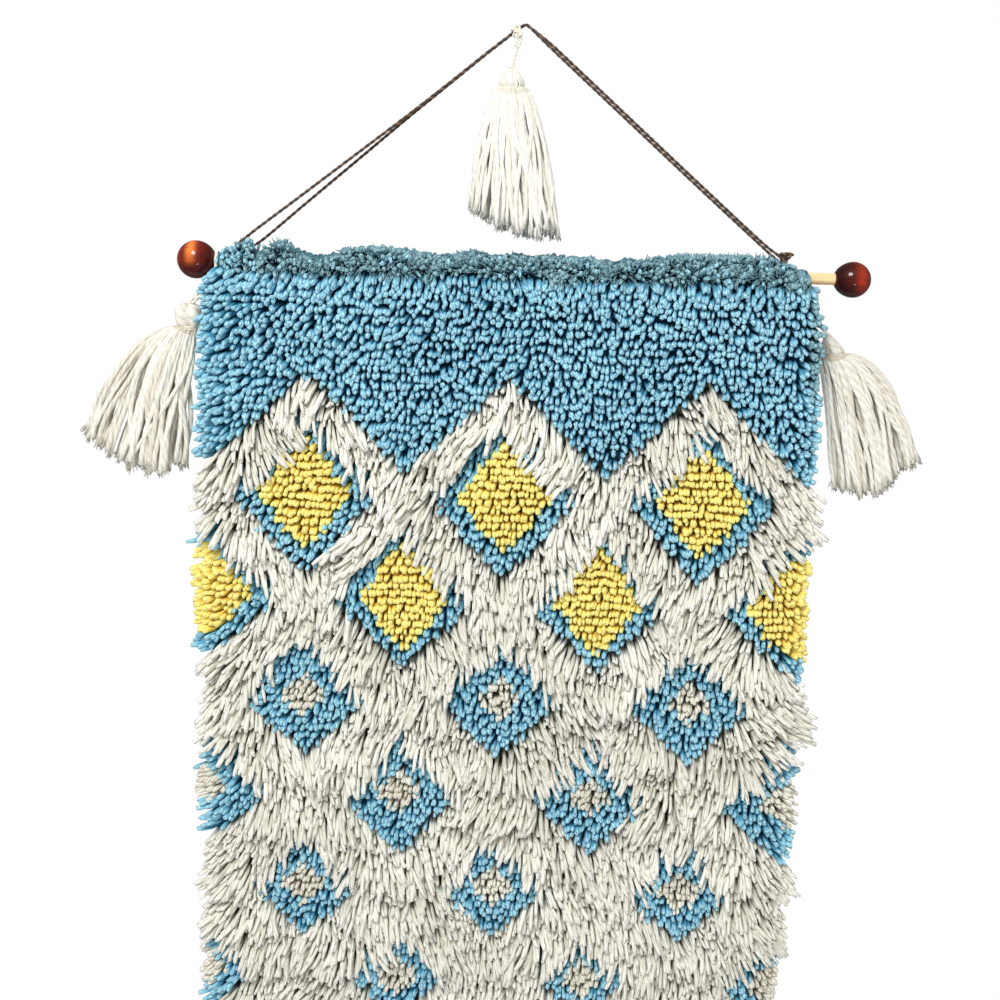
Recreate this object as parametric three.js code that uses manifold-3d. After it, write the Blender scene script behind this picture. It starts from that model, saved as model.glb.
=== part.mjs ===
// Latch hook wall hanging on a dowel.
//
// A stiff rug canvas, knotted all over with short and long yarn pile, is folded
// over a wooden dowel and sewn down behind it. A turned wooden ball closes each
// end of the dowel. A doubled brown cord is looped round the dowel at both sides,
// passes up through the fold of the canvas and meets over the hanging point. One
// yarn tassel hangs from the cord's apex and one from each end of the dowel.
//
// Frame: millimetres, +Z up, +X to the viewer's right along the dowel, the pile
// faces -Y and the wall is on the +Y side. The origin is the hanging point, the
// top of the hook that the cord's apex lies on.

import * as THREE from 'three';
import { mergeVertices } from 'three/addons/utils/BufferGeometryUtils.js';
import Module from 'manifold-3d';

const wasm = await Module();
wasm.setup();

// ---------------------------------------------------------------- dimensions
const GAP = 0.35;            // air left between pieces that touch

const KNOT = 6.77;           // canvas pitch: 3.75 holes to the inch
const COLS = 72;             // knots across
const CANVAS_T = 1.5;        // canvas with the knots' bars
const CANVAS_LEFT = -244.0;  // left selvedge; the right one follows from COLS
const CANVAS_RIGHT = CANVAS_LEFT + COLS * KNOT;
const FRONT_DROP = 694.0;    // dowel centre to the canvas's lower edge
const FLAP_DROP = 46.0;      // dowel centre to the end of the flap behind
const SHORT_PILE = 17.5;     // depth of the short pile off the canvas
const SHAG_RISE = 7.0;       // how much further the long shag stands out
const FLAP_PILE = 12.0;      // pile on the flap behind, pressed towards the wall
const BOTTOM_FRINGE = 15.0;  // how far the last rows' pile hangs below the canvas
const SIDE_LEAN = 12.0;      // how far the edge knots lean out past the selvedge

const ROD_X = 5.5;           // the dowel's middle, a little right of the hook
const ROD_Z = -190.0;        // the dowel's centre line below the hook
const ROD_R = 4.75;          // 9.5 mm dowel
const BALL_SPACING = 538.0;  // ball centre to ball centre
const BALL_L_R = 15.3;
const BALL_R_R = 14.6;
const BALL_BORE_DEPTH = 13.5;

const SLEEVE_HALF = 8.8;     // half width of the channel that the dowel lies in
const SLEEVE_TAIL = 24.0;    // where the channel closes below the dowel
const CANVAS_HANG_Y = -4.5;  // plane of the canvas below the channel

const CORD_R = 1.25;         // each strand of the hanging cord
const STRAND_OFF = 1.5;      // half the distance between the paired strands
const HOOK_R = 2.5;          // bend of the cord over the hook
const TIE_R = 1.0;           // the centre tassel's tie
const SIDE_TIE_R = 1.3;      // the side tassels' ties, of doubled yarn

// Chart of the pile, in knots: a lattice of diamonds drawn in long shag.
const CELL_W = 24;           // lattice cell, knots across
const CELL_H = 26;           // lattice cell, rows high
const TOP_ROW = 27;          // row of the first cells' middles, from the top
const BAND_TOP = 2.2;        // half height of a lattice band at the top, in rows
const BAND_LOW = 6.6;        // and at the bottom

// Height of the pile that stands up along the fold, over the dowel's centre.
const RIDGE = [
  // x,   height
  [-244, 9], [-236, 12], [-220, 21], [-207, 11], [-196, 20], [-182, 10.5], [-160, 9.5],
  [-148, 11], [-136, 15], [-112, 17], [-100, 16.5], [-76, 11.6], [-64, 9.5], [-52, 10.5],
  [-40, 15], [-28, 13.5], [-16, 11], [-4, 14], [8, 12.5], [32, 14], [56, 13], [80, 9.5],
  [92, 12], [104, 11], [116, 13.5], [140, 19], [164, 18.5], [212, 19.7], [224, 15], [234, 9.5],
  [244, 9],
];

// Outward lean of the edge pile, by drop below the dowel, as a share of SIDE_LEAN.
const LEAN_LEFT = [
  // drop, share
  [0, 0], [12, 0.03], [20, 0.35], [30, 0.75], [45, 0.95], [80, 1.0], [170, 0.8],
  [250, 1.5], [330, 1.7], [400, 1.45], [470, 1.65], [540, 1.4], [620, 1.5], [694, 1.1],
];
const LEAN_RIGHT = [
  [0, 0], [12, 0.05], [22, 0.35], [32, 0.6], [60, 0.62], [100, 0.85], [170, 0.75],
  [250, 1.0], [320, 1.2], [390, 0.85], [460, 1.2], [540, 0.95], [620, 0.8], [694, 0.65],
];

// ------------------------------------------------------------------ helpers
const lerp = (a, b, t) => a + (b - a) * t;
const smooth = (t) => { const k = Math.min(1, Math.max(0, t)); return k * k * (3 - 2 * k); };

function table(rows, x) {
  if (x <= rows[0][0]) return rows[0][1];
  for (let i = 1; i < rows.length; i++) {
    if (x <= rows[i][0]) {
      const t = (x - rows[i - 1][0]) / (rows[i][0] - rows[i - 1][0]);
      return lerp(rows[i - 1][1], rows[i][1], smooth(t));
    }
  }
  return rows[rows.length - 1][1];
}

// Small repeatable unevenness, from -1 to 1.
const uneven = (a, b) => {
  const s = Math.sin(a * 12.9898 + b * 78.233) * 43758.5453;
  return 2 * (s - Math.floor(s)) - 1;
};

function geometryOf(vertices, triangles) {
  const g = new THREE.BufferGeometry();
  g.setAttribute('position', new THREE.Float32BufferAttribute(vertices.flat(), 3));
  g.setIndex(triangles.flat());
  return g;
}

function bare(geometry) {
  const g = geometry.clone();
  g.deleteAttribute('normal');
  g.deleteAttribute('uv');
  return mergeVertices(g, 1e-4);
}

function toSolid(geometry) {
  const g = bare(geometry);
  return new wasm.Manifold(new wasm.Mesh({
    numProp: 3,
    vertProperties: Float32Array.from(g.attributes.position.array),
    triVerts: Uint32Array.from(g.index.array),
  }));
}

function fromSolid(solid) {
  const m = solid.getMesh();
  const g = new THREE.BufferGeometry();
  g.setAttribute('position', new THREE.BufferAttribute(Float32Array.from(m.vertProperties), 3));
  g.setIndex(new THREE.BufferAttribute(Uint32Array.from(m.triVerts), 1));
  return g;
}

// ---------------------------------------------------------------- the cloth
// 1 where a knot carries long shag, 0 where it carries short pile.
function shagAt(col, row) {
  const t = lerp(BAND_TOP, BAND_LOW, Math.min(1, Math.max(0, (row - 14) / 88)));
  if (row < TOP_ROW - CELL_H / 2 - t) return 0;
  const u = (col - (COLS - 1) / 2) / CELL_W;
  const v = (row - (TOP_ROW - CELL_H / 2)) / CELL_H;
  const off = (w) => Math.abs(w - Math.round(w)) * CELL_H;
  const above = Math.abs(u - Math.round(u)) * CELL_H;        // zigzag upper border
  if (row < TOP_ROW - CELL_H / 2 + above - t) return 0;
  return Math.min(off(v + u), off(v - u)) < t ? 1 : 0;
}

// Long shag hangs over the rows below it, so the raised area reaches further down.
function pileDepth(x, z) {
  const col = (x - CANVAS_LEFT) / KNOT;
  const row = (ROD_Z - z) / KNOT;
  let s = 0;
  for (let k = 0; k < 6; k++) s += shagAt(col, row - k);
  const body = SHORT_PILE + SHAG_RISE * smooth(s / 3.2) + 0.9 * uneven(col, row);
  const drop = ROD_Z - z;
  // the first rows lie down over the fold, and the last ones thin out
  return body + 1.5 * smooth(1 - drop / 40) - 5.0 * smooth((drop - FRONT_DROP + 30) / 40);
}

// The canvas hangs in a plane under the dowel, with a slow ripple across it.
function canvasY(x, z) {
  const drop = Math.max(0, ROD_Z - z);
  const ripple = 2.2 * Math.sin(x / 62 + 0.6) * smooth(drop / 300) + 1.2 * Math.sin(x / 31 - drop / 140) * smooth(drop / 200);
  return lerp(-(SLEEVE_HALF + CANVAS_T / 2), CANVAS_HANG_Y, smooth(drop / 75)) + ripple;
}

// One section across the hanging at x: the outer line from the lower front edge,
// up the pile, over the fold, down the flap and the canvas's back. Each point is
// [y, z, lean], lean being its share of the edge pile's outward lean.
const FRONT_STEPS = 40;
const BACK_STEPS = 14;
function outerLine(x) {
  const line = [];
  const zLow = ROD_Z - FRONT_DROP;
  for (let k = 0; k <= FRONT_STEPS; k++) {
    const z = lerp(zLow, ROD_Z - 3, k / FRONT_STEPS);
    const zz = z - (k === 0 ? BOTTOM_FRINGE * (0.85 + 0.15 * uneven(x, 3)) : 0);
    const y = canvasY(x, z) - CANVAS_T / 2 - pileDepth(x, z) * (k === 0 ? 0.75 : 1);
    line.push([y, zz, 0.85]);
  }
  const r0 = SLEEVE_HALF + CANVAS_T + SHORT_PILE;
  const top = table(RIDGE, x);
  for (const [deg, r] of [[20, r0 - 1.5], [42, 22.5], [62, 18.5], [82, 15.5]]) {
    const a = THREE.MathUtils.degToRad(deg);
    line.push([-Math.cos(a) * r, ROD_Z + Math.sin(a) * r * Math.min(1, 0.72 + top / 60), 0.3]);
  }
  line.push([4.5, ROD_Z + top, 0.2]);
  line.push([12.5, ROD_Z + top * 0.93, 0.2]);
  line.push([19.0, ROD_Z + top * 0.62, 0.2]);
  line.push([SLEEVE_HALF + CANVAS_T + FLAP_PILE, ROD_Z + 1, 0.2]);
  line.push([SLEEVE_HALF + CANVAS_T + FLAP_PILE - 1, ROD_Z - 16, 0.3]);
  line.push([FLAP_PILE + 5.5, ROD_Z - 32, 0.3]);
  line.push([FLAP_PILE + 0.5, ROD_Z - FLAP_DROP - 6, 0.3]);
  line.push([canvasY(x, ROD_Z - FLAP_DROP - 9) + CANVAS_T / 2 + 2.5, ROD_Z - FLAP_DROP - 9, 0.1]);
  for (let k = 0; k <= BACK_STEPS; k++) {
    const z = lerp(ROD_Z - FLAP_DROP - 14, zLow, k / BACK_STEPS);
    line.push([canvasY(x, z) + CANVAS_T / 2, z, 0]);
  }
  line.push([canvasY(x, zLow) - 3.5, zLow - BOTTOM_FRINGE * 0.8, 0.3]);
  return line;
}

// The channel round the dowel: an arch on top of the dowel, closing to a seam below.
function channelLine() {
  const c = ROD_Z - 2;
  const up = ROD_R + GAP + 2;
  const line = [];
  for (let k = 0; k <= 6; k++) {
    const a = Math.PI * (k / 6);
    line.push([-Math.cos(a) * SLEEVE_HALF, c + Math.sin(a) * up]);
  }
  line.push([SLEEVE_HALF * 0.82, ROD_Z - 9]);
  line.push([SLEEVE_HALF * 0.36, ROD_Z - 17]);
  line.push([0, ROD_Z - SLEEVE_TAIL]);
  line.push([-SLEEVE_HALF * 0.36, ROD_Z - 17]);
  line.push([-SLEEVE_HALF * 0.82, ROD_Z - 9]);
  return line;
}

const SECTIONS = 30;
function clothGeometry() {
  const vertices = [];
  const triangles = [];
  const channel = channelLine();
  let outerCount = 0;
  let per = 0;
  for (let i = 0; i <= SECTIONS; i++) {
    const x = lerp(CANVAS_LEFT, CANVAS_RIGHT, i / SECTIONS);
    const outer = outerLine(x);
    outerCount = outer.length;
    per = outerCount + channel.length;
    for (const [y, z, lean] of outer) {
      const end = i === 0 ? -1 : i === SECTIONS ? 1 : 0;
      const reach = end === 0 ? 0 : SIDE_LEAN * lean * table(end < 0 ? LEAN_LEFT : LEAN_RIGHT, ROD_Z - z);
      vertices.push([x + end * reach, y, z]);
    }
    for (const [y, z] of channel) vertices.push([x, y, z]);
  }
  for (let i = 0; i < SECTIONS; i++) {
    const a = i * per;
    const b = a + per;
    for (let j = 0; j < outerCount; j++) {
      const k = (j + 1) % outerCount;
      triangles.push([a + j, a + k, b + k], [a + j, b + k, b + j]);
    }
    for (let j = 0; j < channel.length; j++) {
      const k = (j + 1) % channel.length;
      triangles.push([a + outerCount + j, b + outerCount + k, a + outerCount + k],
        [a + outerCount + j, b + outerCount + j, b + outerCount + k]);
    }
  }
  const cap = (i, flip) => {
    const base = i * per;
    const at = (j) => new THREE.Vector2(vertices[base + j][1], vertices[base + j][2]);
    const contour = Array.from({ length: outerCount }, (_, j) => at(j));
    const hole = Array.from({ length: channel.length }, (_, j) => at(outerCount + j));
    for (const f of THREE.ShapeUtils.triangulateShape(contour, [hole])) {
      const t = f.map((j) => base + j);
      triangles.push(flip ? [t[0], t[2], t[1]] : t);
    }
  };
  // the outer line runs clockwise in (y, z); triangulateShape keeps its own winding
  const contour = outerLine(0).map(([y, z]) => new THREE.Vector2(y, z));
  const ccw = THREE.ShapeUtils.area(contour) > 0;
  cap(0, ccw);
  cap(SECTIONS, !ccw);
  const g = geometryOf(vertices, triangles);
  if (ccw) return g;
  const idx = g.index.array;
  for (let t = 0; t < idx.length; t += 3) { const s = idx[t + 1]; idx[t + 1] = idx[t + 2]; idx[t + 2] = s; }
  return g;
}

// The pile and the fold part where the cord comes up from the dowel.
function boxBetween(x0, x1, y0, y1, z0, z1) {
  const g = new THREE.BoxGeometry(x1 - x0, y1 - y0, z1 - z0);
  g.translate((x0 + x1) / 2, (y0 + y1) / 2, (z0 + z1) / 2);
  return g;
}

function legBox(from, to, width, y0, y1) {
  const d = new THREE.Vector2(to[0] - from[0], to[1] - from[1]);
  const g = new THREE.BoxGeometry(d.length(), y1 - y0, width);
  g.rotateY(-Math.atan2(d.y, d.x));
  g.translate((from[0] + to[0]) / 2, (y0 + y1) / 2, (from[1] + to[1]) / 2);
  return g;
}

// ----------------------------------------------------------------- the cord
// Where the strands touch the dowel.
const LEFT_A_X = -233.0;
const LEFT_B_X = -225.5;
const RIGHT_A_X = 216.6;
const RIGHT_B_X = 220.0;
const WRAP_R = ROD_R + GAP + CORD_R + 0.35;   // the last part allows for the tube's flats
const KNOT_AT = [218.6, 4.6, -173.3];
const KNOT_LOW = -178.2;

// Passes round under the dowel: y and z over an angle, 0 at the front, 180 behind.
const round = (x, deg) => {
  const a = THREE.MathUtils.degToRad(deg);
  return [x, -Math.cos(a) * WRAP_R, ROD_Z - Math.sin(a) * WRAP_R];
};

const LEG_TOP = HOOK_R + CORD_R + 0.2;
function cordRoute() {
  const pts = [];
  const push = (...rows) => rows.forEach((r) => pts.push(r));
  // strand A leaves the knot, goes down behind the dowel, under it and up in front
  push([RIGHT_A_X + 0.5, WRAP_R - 1.2, KNOT_LOW - 1.6 * GAP], [RIGHT_A_X + 0.2, WRAP_R - 0.4, ROD_Z + 6],
    round(RIGHT_A_X, 172), round(RIGHT_A_X, 135), round(RIGHT_A_X, 90), round(RIGHT_A_X, 45), round(RIGHT_A_X, 5),
    [215.6, -5.9, -184.5], [211.2, -4.9, -177.0], [200.0, -4.0, -167.3]);
  // up the right leg, A in front
  push([149.2, -3.0, -124.8], [99.2, -2.4, -82.5], [49.2, -1.9, -40.1], [19.3, -1.6, -14.6], [10.6, -1.6, -6.9]);
  overHook(pts, -STRAND_OFF, 1);
  push([-25, -STRAND_OFF, -16.8], [-60, -1.6, -45.1], [-90, -1.9, -69.0], [-130, -2.6, -99.8], [-180, -3.6, -138.3], [-219, -4.6, -168.3]);
  push([-229.3, -5.6, -177.2], [-232.4, -6.3, -184.0], round(LEFT_A_X, 5), round(LEFT_A_X + 1.6, 45), round((LEFT_A_X + LEFT_B_X) / 2, 90),
    round(LEFT_B_X - 1.6, 135), round(LEFT_B_X, 172), [-224.2, 6.0, -184.4], [-219.3, 5.2, -179.4], [-210.5, 4.6, -173.2]);
  // back up the left leg, B behind
  push([-175, 3.6, -143.0], [-130, 2.7, -104.7], [-90, 2.0, -70.6], [-60, 1.6, -45.8], [-25, STRAND_OFF, -17.0]);
  overHook(pts, STRAND_OFF, -1);
  push([11.4, 1.2, -5.9], [20.7, 0.2, -12.8], [50.8, -0.5, -38.1], [100.8, -1.0, -80.5], [150.8, -1.6, -122.8], [201.8, -2.6, -165.3]);
  push([213.6, -4.0, -174.0], [218.6, -5.5, -181.6], round(RIGHT_B_X, 5), round(RIGHT_B_X, 45), round(RIGHT_B_X, 90), round(RIGHT_B_X, 135), round(RIGHT_B_X, 172),
    [RIGHT_B_X + 0.1, WRAP_R - 0.4, ROD_Z + 6], [RIGHT_B_X + 0.1, WRAP_R - 1.2, KNOT_LOW - 1.6 * GAP]);
  return pts.map((p) => new THREE.Vector3(...p));
}

// The bend over the hook; way is 1 from right to left and -1 from left to right.
function overHook(pts, y, way) {
  const r = HOOK_R + CORD_R;
  for (const deg of [38, 19, 0, -19, -38]) {
    const a = THREE.MathUtils.degToRad(deg * way);
    pts.push([Math.sin(a) * r, y, -HOOK_R + Math.cos(a) * r]);
  }
}

// A round tube through the points, with as many steps between near points as
// between far ones, so that tight bends stay round.
function tubeThrough(points, radius, stepsPerSpan, sides = 8) {
  const curve = new THREE.CatmullRomCurve3(points, false, 'centripetal');
  curve.getPointAt = (u, target) => curve.getPoint(u, target);
  curve.getTangentAt = (u, target) => curve.getTangent(u, target);
  const section = new THREE.Shape();
  for (let k = 0; k < sides; k++) {
    const a = (2 * Math.PI * k) / sides;
    const p = [Math.cos(a) * radius, Math.sin(a) * radius];
    if (k === 0) section.moveTo(...p); else section.lineTo(...p);
  }
  section.closePath();
  return new THREE.ExtrudeGeometry(section, {
    steps: Math.round((points.length - 1) * stepsPerSpan), bevelEnabled: false, extrudePath: curve,
  });
}

// ------------------------------------------------------- dowel, balls, tassels
function dowelGeometry() {
  const g = new THREE.CylinderGeometry(ROD_R, ROD_R, BALL_SPACING - 2 * 0.5, 24, 1);
  g.rotateZ(Math.PI / 2);
  return g;
}

// A turned ball, slightly longer than it is high, with a blind bore for the dowel.
// The profile runs from the outer pole to the mouth of the bore and back along it.
function ballGeometry(radius) {
  const bore = ROD_R + GAP;
  const mouth = Math.sqrt(radius * radius - bore * bore);
  const stretch = 1.0;
  const pts = [];
  const n = 12;
  const aEnd = Math.PI - Math.asin(bore / radius);
  for (let k = 0; k <= n; k++) {
    const a = (aEnd * k) / n;
    pts.push(new THREE.Vector2(k === 0 ? 0 : Math.sin(a) * radius, Math.cos(a) * radius * stretch));
  }
  pts.push(new THREE.Vector2(bore, -mouth + BALL_BORE_DEPTH + 2));
  pts.push(new THREE.Vector2(0, -mouth + BALL_BORE_DEPTH + 2));
  return new THREE.LatheGeometry(pts.reverse(), 24);
}

// A tassel: a tied round head and a skirt of yarn that spreads and leans.
const TASSEL_SIDES = 16;
function tasselGeometry(t) {
  const vertices = [];
  const triangles = [];
  const rings = [];
  const ring = (fn) => {
    const start = vertices.length;
    for (let k = 0; k < TASSEL_SIDES; k++) vertices.push(fn((2 * Math.PI * k) / TASSEL_SIDES, k));
    rings.push(start);
  };
  const [hx, hy, hz] = t.top;
  const neckZ = hz - t.headHeight;
  // head, as share of radius against share of height
  for (const [rr, hh] of t.head) {
    ring((a) => [hx + t.lean * (1 - hh) + Math.cos(a) * t.headRadius * rr, hy + Math.sin(a) * t.headRadius * rr * 0.92, hz - t.headHeight * hh]);
  }
  // skirt, from the neck to the cut ends
  for (const s of [0.03, 0.09, 0.2, 0.4, 0.65, 1.0]) {
    const w = lerp(t.headRadius * t.neck, t.halfWidth, Math.pow(s, t.flare));
    const d = lerp(t.headRadius * (t.neck - 0.04), t.halfDepth, Math.pow(s, t.flare + 0.1));
    const cx = lerp(hx, t.foot, Math.pow(s, t.bend));
    ring((a, k) => {
      const side = (Math.cos(a) + 1) / 2;
      const low = lerp(t.lowLeft, t.lowRight, side) - t.belly * Math.sin(Math.PI * side);
      const cut = s === 1 ? 2.2 * uneven(k, t.foot) : 0;
      return [cx + Math.cos(a) * w, hy + t.setBack * s + Math.sin(a) * d, lerp(neckZ, low, s) + cut];
    });
  }
  for (let r = 0; r + 1 < rings.length; r++) {
    for (let k = 0; k < TASSEL_SIDES; k++) {
      const j = (k + 1) % TASSEL_SIDES;
      const a = rings[r] + k, b = rings[r] + j, c = rings[r + 1] + k, d = rings[r + 1] + j;
      triangles.push([a, c, d], [a, d, b]);
    }
  }
  const close = (start, flip) => {
    const c = vertices.length;
    const m = [0, 0, 0];
    for (let k = 0; k < TASSEL_SIDES; k++) for (let i = 0; i < 3; i++) m[i] += vertices[start + k][i] / TASSEL_SIDES;
    vertices.push(m);
    for (let k = 0; k < TASSEL_SIDES; k++) {
      const a = start + k, b = start + ((k + 1) % TASSEL_SIDES);
      triangles.push(flip ? [c, b, a] : [c, a, b]);
    }
  };
  close(rings[0], false);
  close(rings[rings.length - 1], true);
  return geometryOf(vertices, triangles);
}

const TASSELS = {
  tassel_left: {
    top: [-269.0, -7.0, -226.5], headRadius: 11.6, headHeight: 18, neck: 0.66, foot: -316, halfWidth: 44, halfDepth: 17,
    head: [[0.34, 0], [0.78, 0.12], [1.0, 0.36], [1.0, 0.62], [0.8, 0.88], [0.66, 1.0]],
    lowLeft: -333, lowRight: -361, belly: 15, flare: 0.45, bend: 0.52, setBack: 1.0, lean: 0,
  },
  tassel_right: {
    top: [264.0, 3.4, -237.0], headRadius: 10.0, headHeight: 14.5, neck: 0.86, foot: 308.4, halfWidth: 36.9, halfDepth: 15,
    head: [[0.26, 0], [0.5, 0.18], [0.74, 0.42], [0.94, 0.7], [0.98, 0.9], [0.86, 1.0]],
    lowLeft: -366, lowRight: -336, belly: 13, flare: 0.27, bend: 0.56, setBack: 0.6, lean: -5.2,
  },
  tassel_centre: {
    top: [-9.6, -1.5, -32.0], headRadius: 10.4, headHeight: 14, neck: 0.86, foot: -4.5, halfWidth: 39.5, halfDepth: 15,
    head: [[0.2, 0], [0.48, 0.2], [0.76, 0.5], [1.0, 0.82], [0.96, 0.94], [0.86, 1.0]],
    lowLeft: -141, lowRight: -161, belly: 7, flare: 0.5, bend: 1.0, setBack: 0.0, lean: 0,
  },
};

// Ties: yarn from the dowel, or from the cord's apex, down to a tassel's head.
const TIE_WRAP = ROD_R + GAP + SIDE_TIE_R + 0.35;
const overDowel = (x, deg) => {
  const a = THREE.MathUtils.degToRad(deg);   // 0 behind, 90 on top, 180 in front
  return [x, Math.cos(a) * TIE_WRAP, ROD_Z + Math.sin(a) * TIE_WRAP];
};
const TIE_LEFT_X = -246.1;

function tieRoutes() {
  const left = [overDowel(TIE_LEFT_X, -60), overDowel(TIE_LEFT_X, -10), overDowel(TIE_LEFT_X, 40), overDowel(TIE_LEFT_X, 90),
    overDowel(TIE_LEFT_X, 140), overDowel(TIE_LEFT_X, 180), [-247.3, -7.2, -199.5], [-252.2, -7.1, -207.5],
    [-259.5, -7.0, -215.5], [-266.0, -7.0, -221.6], [-268.4, -7.0, -226.5 + 3 * GAP]];
  // the right one is sewn fast inside the sleeve, under the dowel, and comes out of its mouth
  const right = [[229.0, -2.2, -202.4], [232.5, -1.0, -200.2], [237.0, 0.2, -198.4], [241.6, 1.2, -198.6], [245.8, 2.4, -202.2],
    [247.9, 3.1, -210], [248.5, 3.3, -219], [251.2, 3.4, -227.4], [255.6, 3.4, -233.4], [258.8, 3.4, -237.0 + 3.8 * GAP]];
  // three turns round both strands just left of the apex, then down to the head
  const at = new THREE.Vector3(-7.6, 0, -3.47);
  const along = new THREE.Vector3(-0.794, 0, -0.608);
  const down = new THREE.Vector3(0.608, 0, -0.794);
  const wide = STRAND_OFF + CORD_R + GAP + TIE_R + 0.3;
  const tall = CORD_R + GAP + TIE_R + 0.4;
  const centre = [];
  for (let deg = -520; deg <= 515; deg += 45) {
    const a = THREE.MathUtils.degToRad(deg);
    const p = at.clone().addScaledVector(along, (deg + 2.5) / 360 * -2.5)
      .addScaledVector(down, -Math.sin(a) * tall);
    centre.push([p.x, Math.cos(a) * wide, p.z]);
  }
  centre.push([-3.6, -4.0, -10.0], [-6.4, -3.0, -18], [-9.0, -1.9, -27], [-9.6, -1.5, -32 + 1.4 * GAP]);
  return { tie_left: left, tie_right: right, tie_centre: centre };
}

// A small barrel of cord: the knot that joins the cord's two ends.
function cordKnotGeometry() {
  const h = 9.4;
  const profile = [[0, 0], [4.4, 0], [5.4, h * 0.3], [5.5, h * 0.62], [4.2, h * 0.9], [2.2, h], [0, h]];
  const g = new THREE.LatheGeometry(profile.map(([r, z]) => new THREE.Vector2(r, z)), 14);
  g.rotateX(Math.PI / 2);
  return g;
}

// ----------------------------------------------------------------- assembly
const group = new THREE.Group();
function add(name, geometry, colour, roughness, place = [0, 0, 0], turn = [0, 0, 0]) {
  const m = new THREE.Mesh(geometry, new THREE.MeshStandardMaterial({ color: colour, roughness, metalness: 0 }));
  m.name = name;
  m.position.set(...place);
  m.rotation.set(...turn);
  group.add(m);
  return m;
}

const cuts = [
  boxBetween(-238.5, -219.5, -9.4, 9.4, ROD_Z, ROD_Z + 40),
  legBox([-231.5, -183.0], [-168.5, -133.5], 18, -10.5, 10.5),
  boxBetween(210.4, 226.9, -9.4, 11.5, ROD_Z, ROD_Z + 40),
  legBox([217.5, -179.0], [170, -139.8], 10, -9.0, 3.0),
];
let cloth = toSolid(clothGeometry());
for (const c of cuts) cloth = cloth.subtract(toSolid(c));
add('cloth', fromSolid(cloth), 0x5aa0c8, 0.95);

add('dowel', bare(dowelGeometry()), 0xdcb98a, 0.55, [ROD_X, 0, ROD_Z]);
add('ball_left', bare(ballGeometry(BALL_L_R)), 0x7a2a12, 0.25, [ROD_X - BALL_SPACING / 2, 0, ROD_Z], [0, 0, Math.PI / 2]);
add('ball_right', bare(ballGeometry(BALL_R_R)), 0x4e1410, 0.25, [ROD_X + BALL_SPACING / 2, 0, ROD_Z], [0, 0, -Math.PI / 2]);

add('hanger_cord', bare(tubeThrough(cordRoute(), CORD_R, 1.25)), 0x3f2c22, 0.7);
add('cord_knot', bare(cordKnotGeometry()), 0x3f2c22, 0.7, [KNOT_AT[0], KNOT_AT[1], KNOT_LOW]);

for (const [name, t] of Object.entries(TASSELS)) add(name, tasselGeometry(t), 0xefe8d8, 0.95);
for (const [name, route] of Object.entries(tieRoutes())) {
  add(name, bare(tubeThrough(route.map((p) => new THREE.Vector3(...p)), name === 'tie_centre' ? TIE_R : SIDE_TIE_R, 2)), 0xefe8d8, 0.95);
}

export default group;
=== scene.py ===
# Latch hook wall hanging on a dowel.
import math

import bpy
import numpy as np
from mathutils import Matrix, Vector


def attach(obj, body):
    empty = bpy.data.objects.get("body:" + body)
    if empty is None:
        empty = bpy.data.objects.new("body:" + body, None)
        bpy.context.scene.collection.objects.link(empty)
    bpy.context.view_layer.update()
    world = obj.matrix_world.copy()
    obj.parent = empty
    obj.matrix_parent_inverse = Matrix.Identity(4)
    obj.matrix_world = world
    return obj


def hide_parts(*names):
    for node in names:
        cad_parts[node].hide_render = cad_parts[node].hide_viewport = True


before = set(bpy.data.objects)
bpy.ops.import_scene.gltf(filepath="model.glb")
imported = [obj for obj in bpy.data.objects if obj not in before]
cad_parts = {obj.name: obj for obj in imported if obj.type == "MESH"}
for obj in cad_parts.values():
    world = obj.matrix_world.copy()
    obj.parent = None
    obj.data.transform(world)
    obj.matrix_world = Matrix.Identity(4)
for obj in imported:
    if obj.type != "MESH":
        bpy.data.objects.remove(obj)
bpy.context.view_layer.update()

scene = bpy.context.scene
scene.view_settings.view_transform = "Standard"
scene.view_settings.look = "None"
scene.view_settings.exposure = 0.0
scene.view_settings.gamma = 1.0

# ----------------------------------------------------------------- dimensions (mm)
KNOT, COLS = 6.77, 72
LEFT = -244.0
RIGHT = LEFT + COLS * KNOT
FRONT_DROP, FLAP_DROP = 694.0, 46.0
SIDE_LEAN = 12.0
ROD_X, ROD_Z, ROD_R = 5.5, -190.0, 4.75
BALL_SPACING = 538.0
GAP = 0.35
SLEEVE_HALF = 8.8
CANVAS_HANG_Y = -4.5
CANVAS_T = 1.5
CELL_W, CELL_H, TOP_ROW = 24, 26, 27
BAND_TOP, BAND_LOW = 2.2, 6.6
CORD_R, STRAND_OFF, HOOK_R = 1.25, 1.5, 2.5

RIDGE = [(-247, 0.5), (-244, 2), (-238, 7), (-232, 12), (-226, 16.5), (-220, 21), (-214, 15), (-211, 4), (-204, 3.5), (-200, 17), (-196, 21), (-190, 19),
         (-184, 9.5), (-172, 5), (-160, 2), (-148, 8), (-140, 14.5), (-130, 16), (-112, 17), (-100, 16.5), (-88, 14.5),
         (-76, 11.6), (-64, 9.5), (-52, 10.5), (-40, 15), (-28, 13.5), (-16, 11), (-4, 14), (8, 12.5), (20, 13), (44, 12),
         (56, 13), (68, 9.5), (80, 6), (92, 12), (104, 10.7), (116, 13.5), (128, 16.3), (140, 19), (164, 18.5), (176, 18.6),
         (188, 19.7), (208, 19.0), (214, 16.5), (221, 13), (229, 8), (236.6, 2), (241, -2), (244, -4)]
LEAN_LEFT = [(0, 0.05), (6, 0.42), (13, 0.85), (26, 1.15), (48, 1.12), (80, 1.15), (130, 1.25), (170, 1.25), (250, 1.4), (330, 1.5),
             (400, 1.3), (470, 1.5), (540, 1.25), (620, 1.35), (694, 1.0)]
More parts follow.
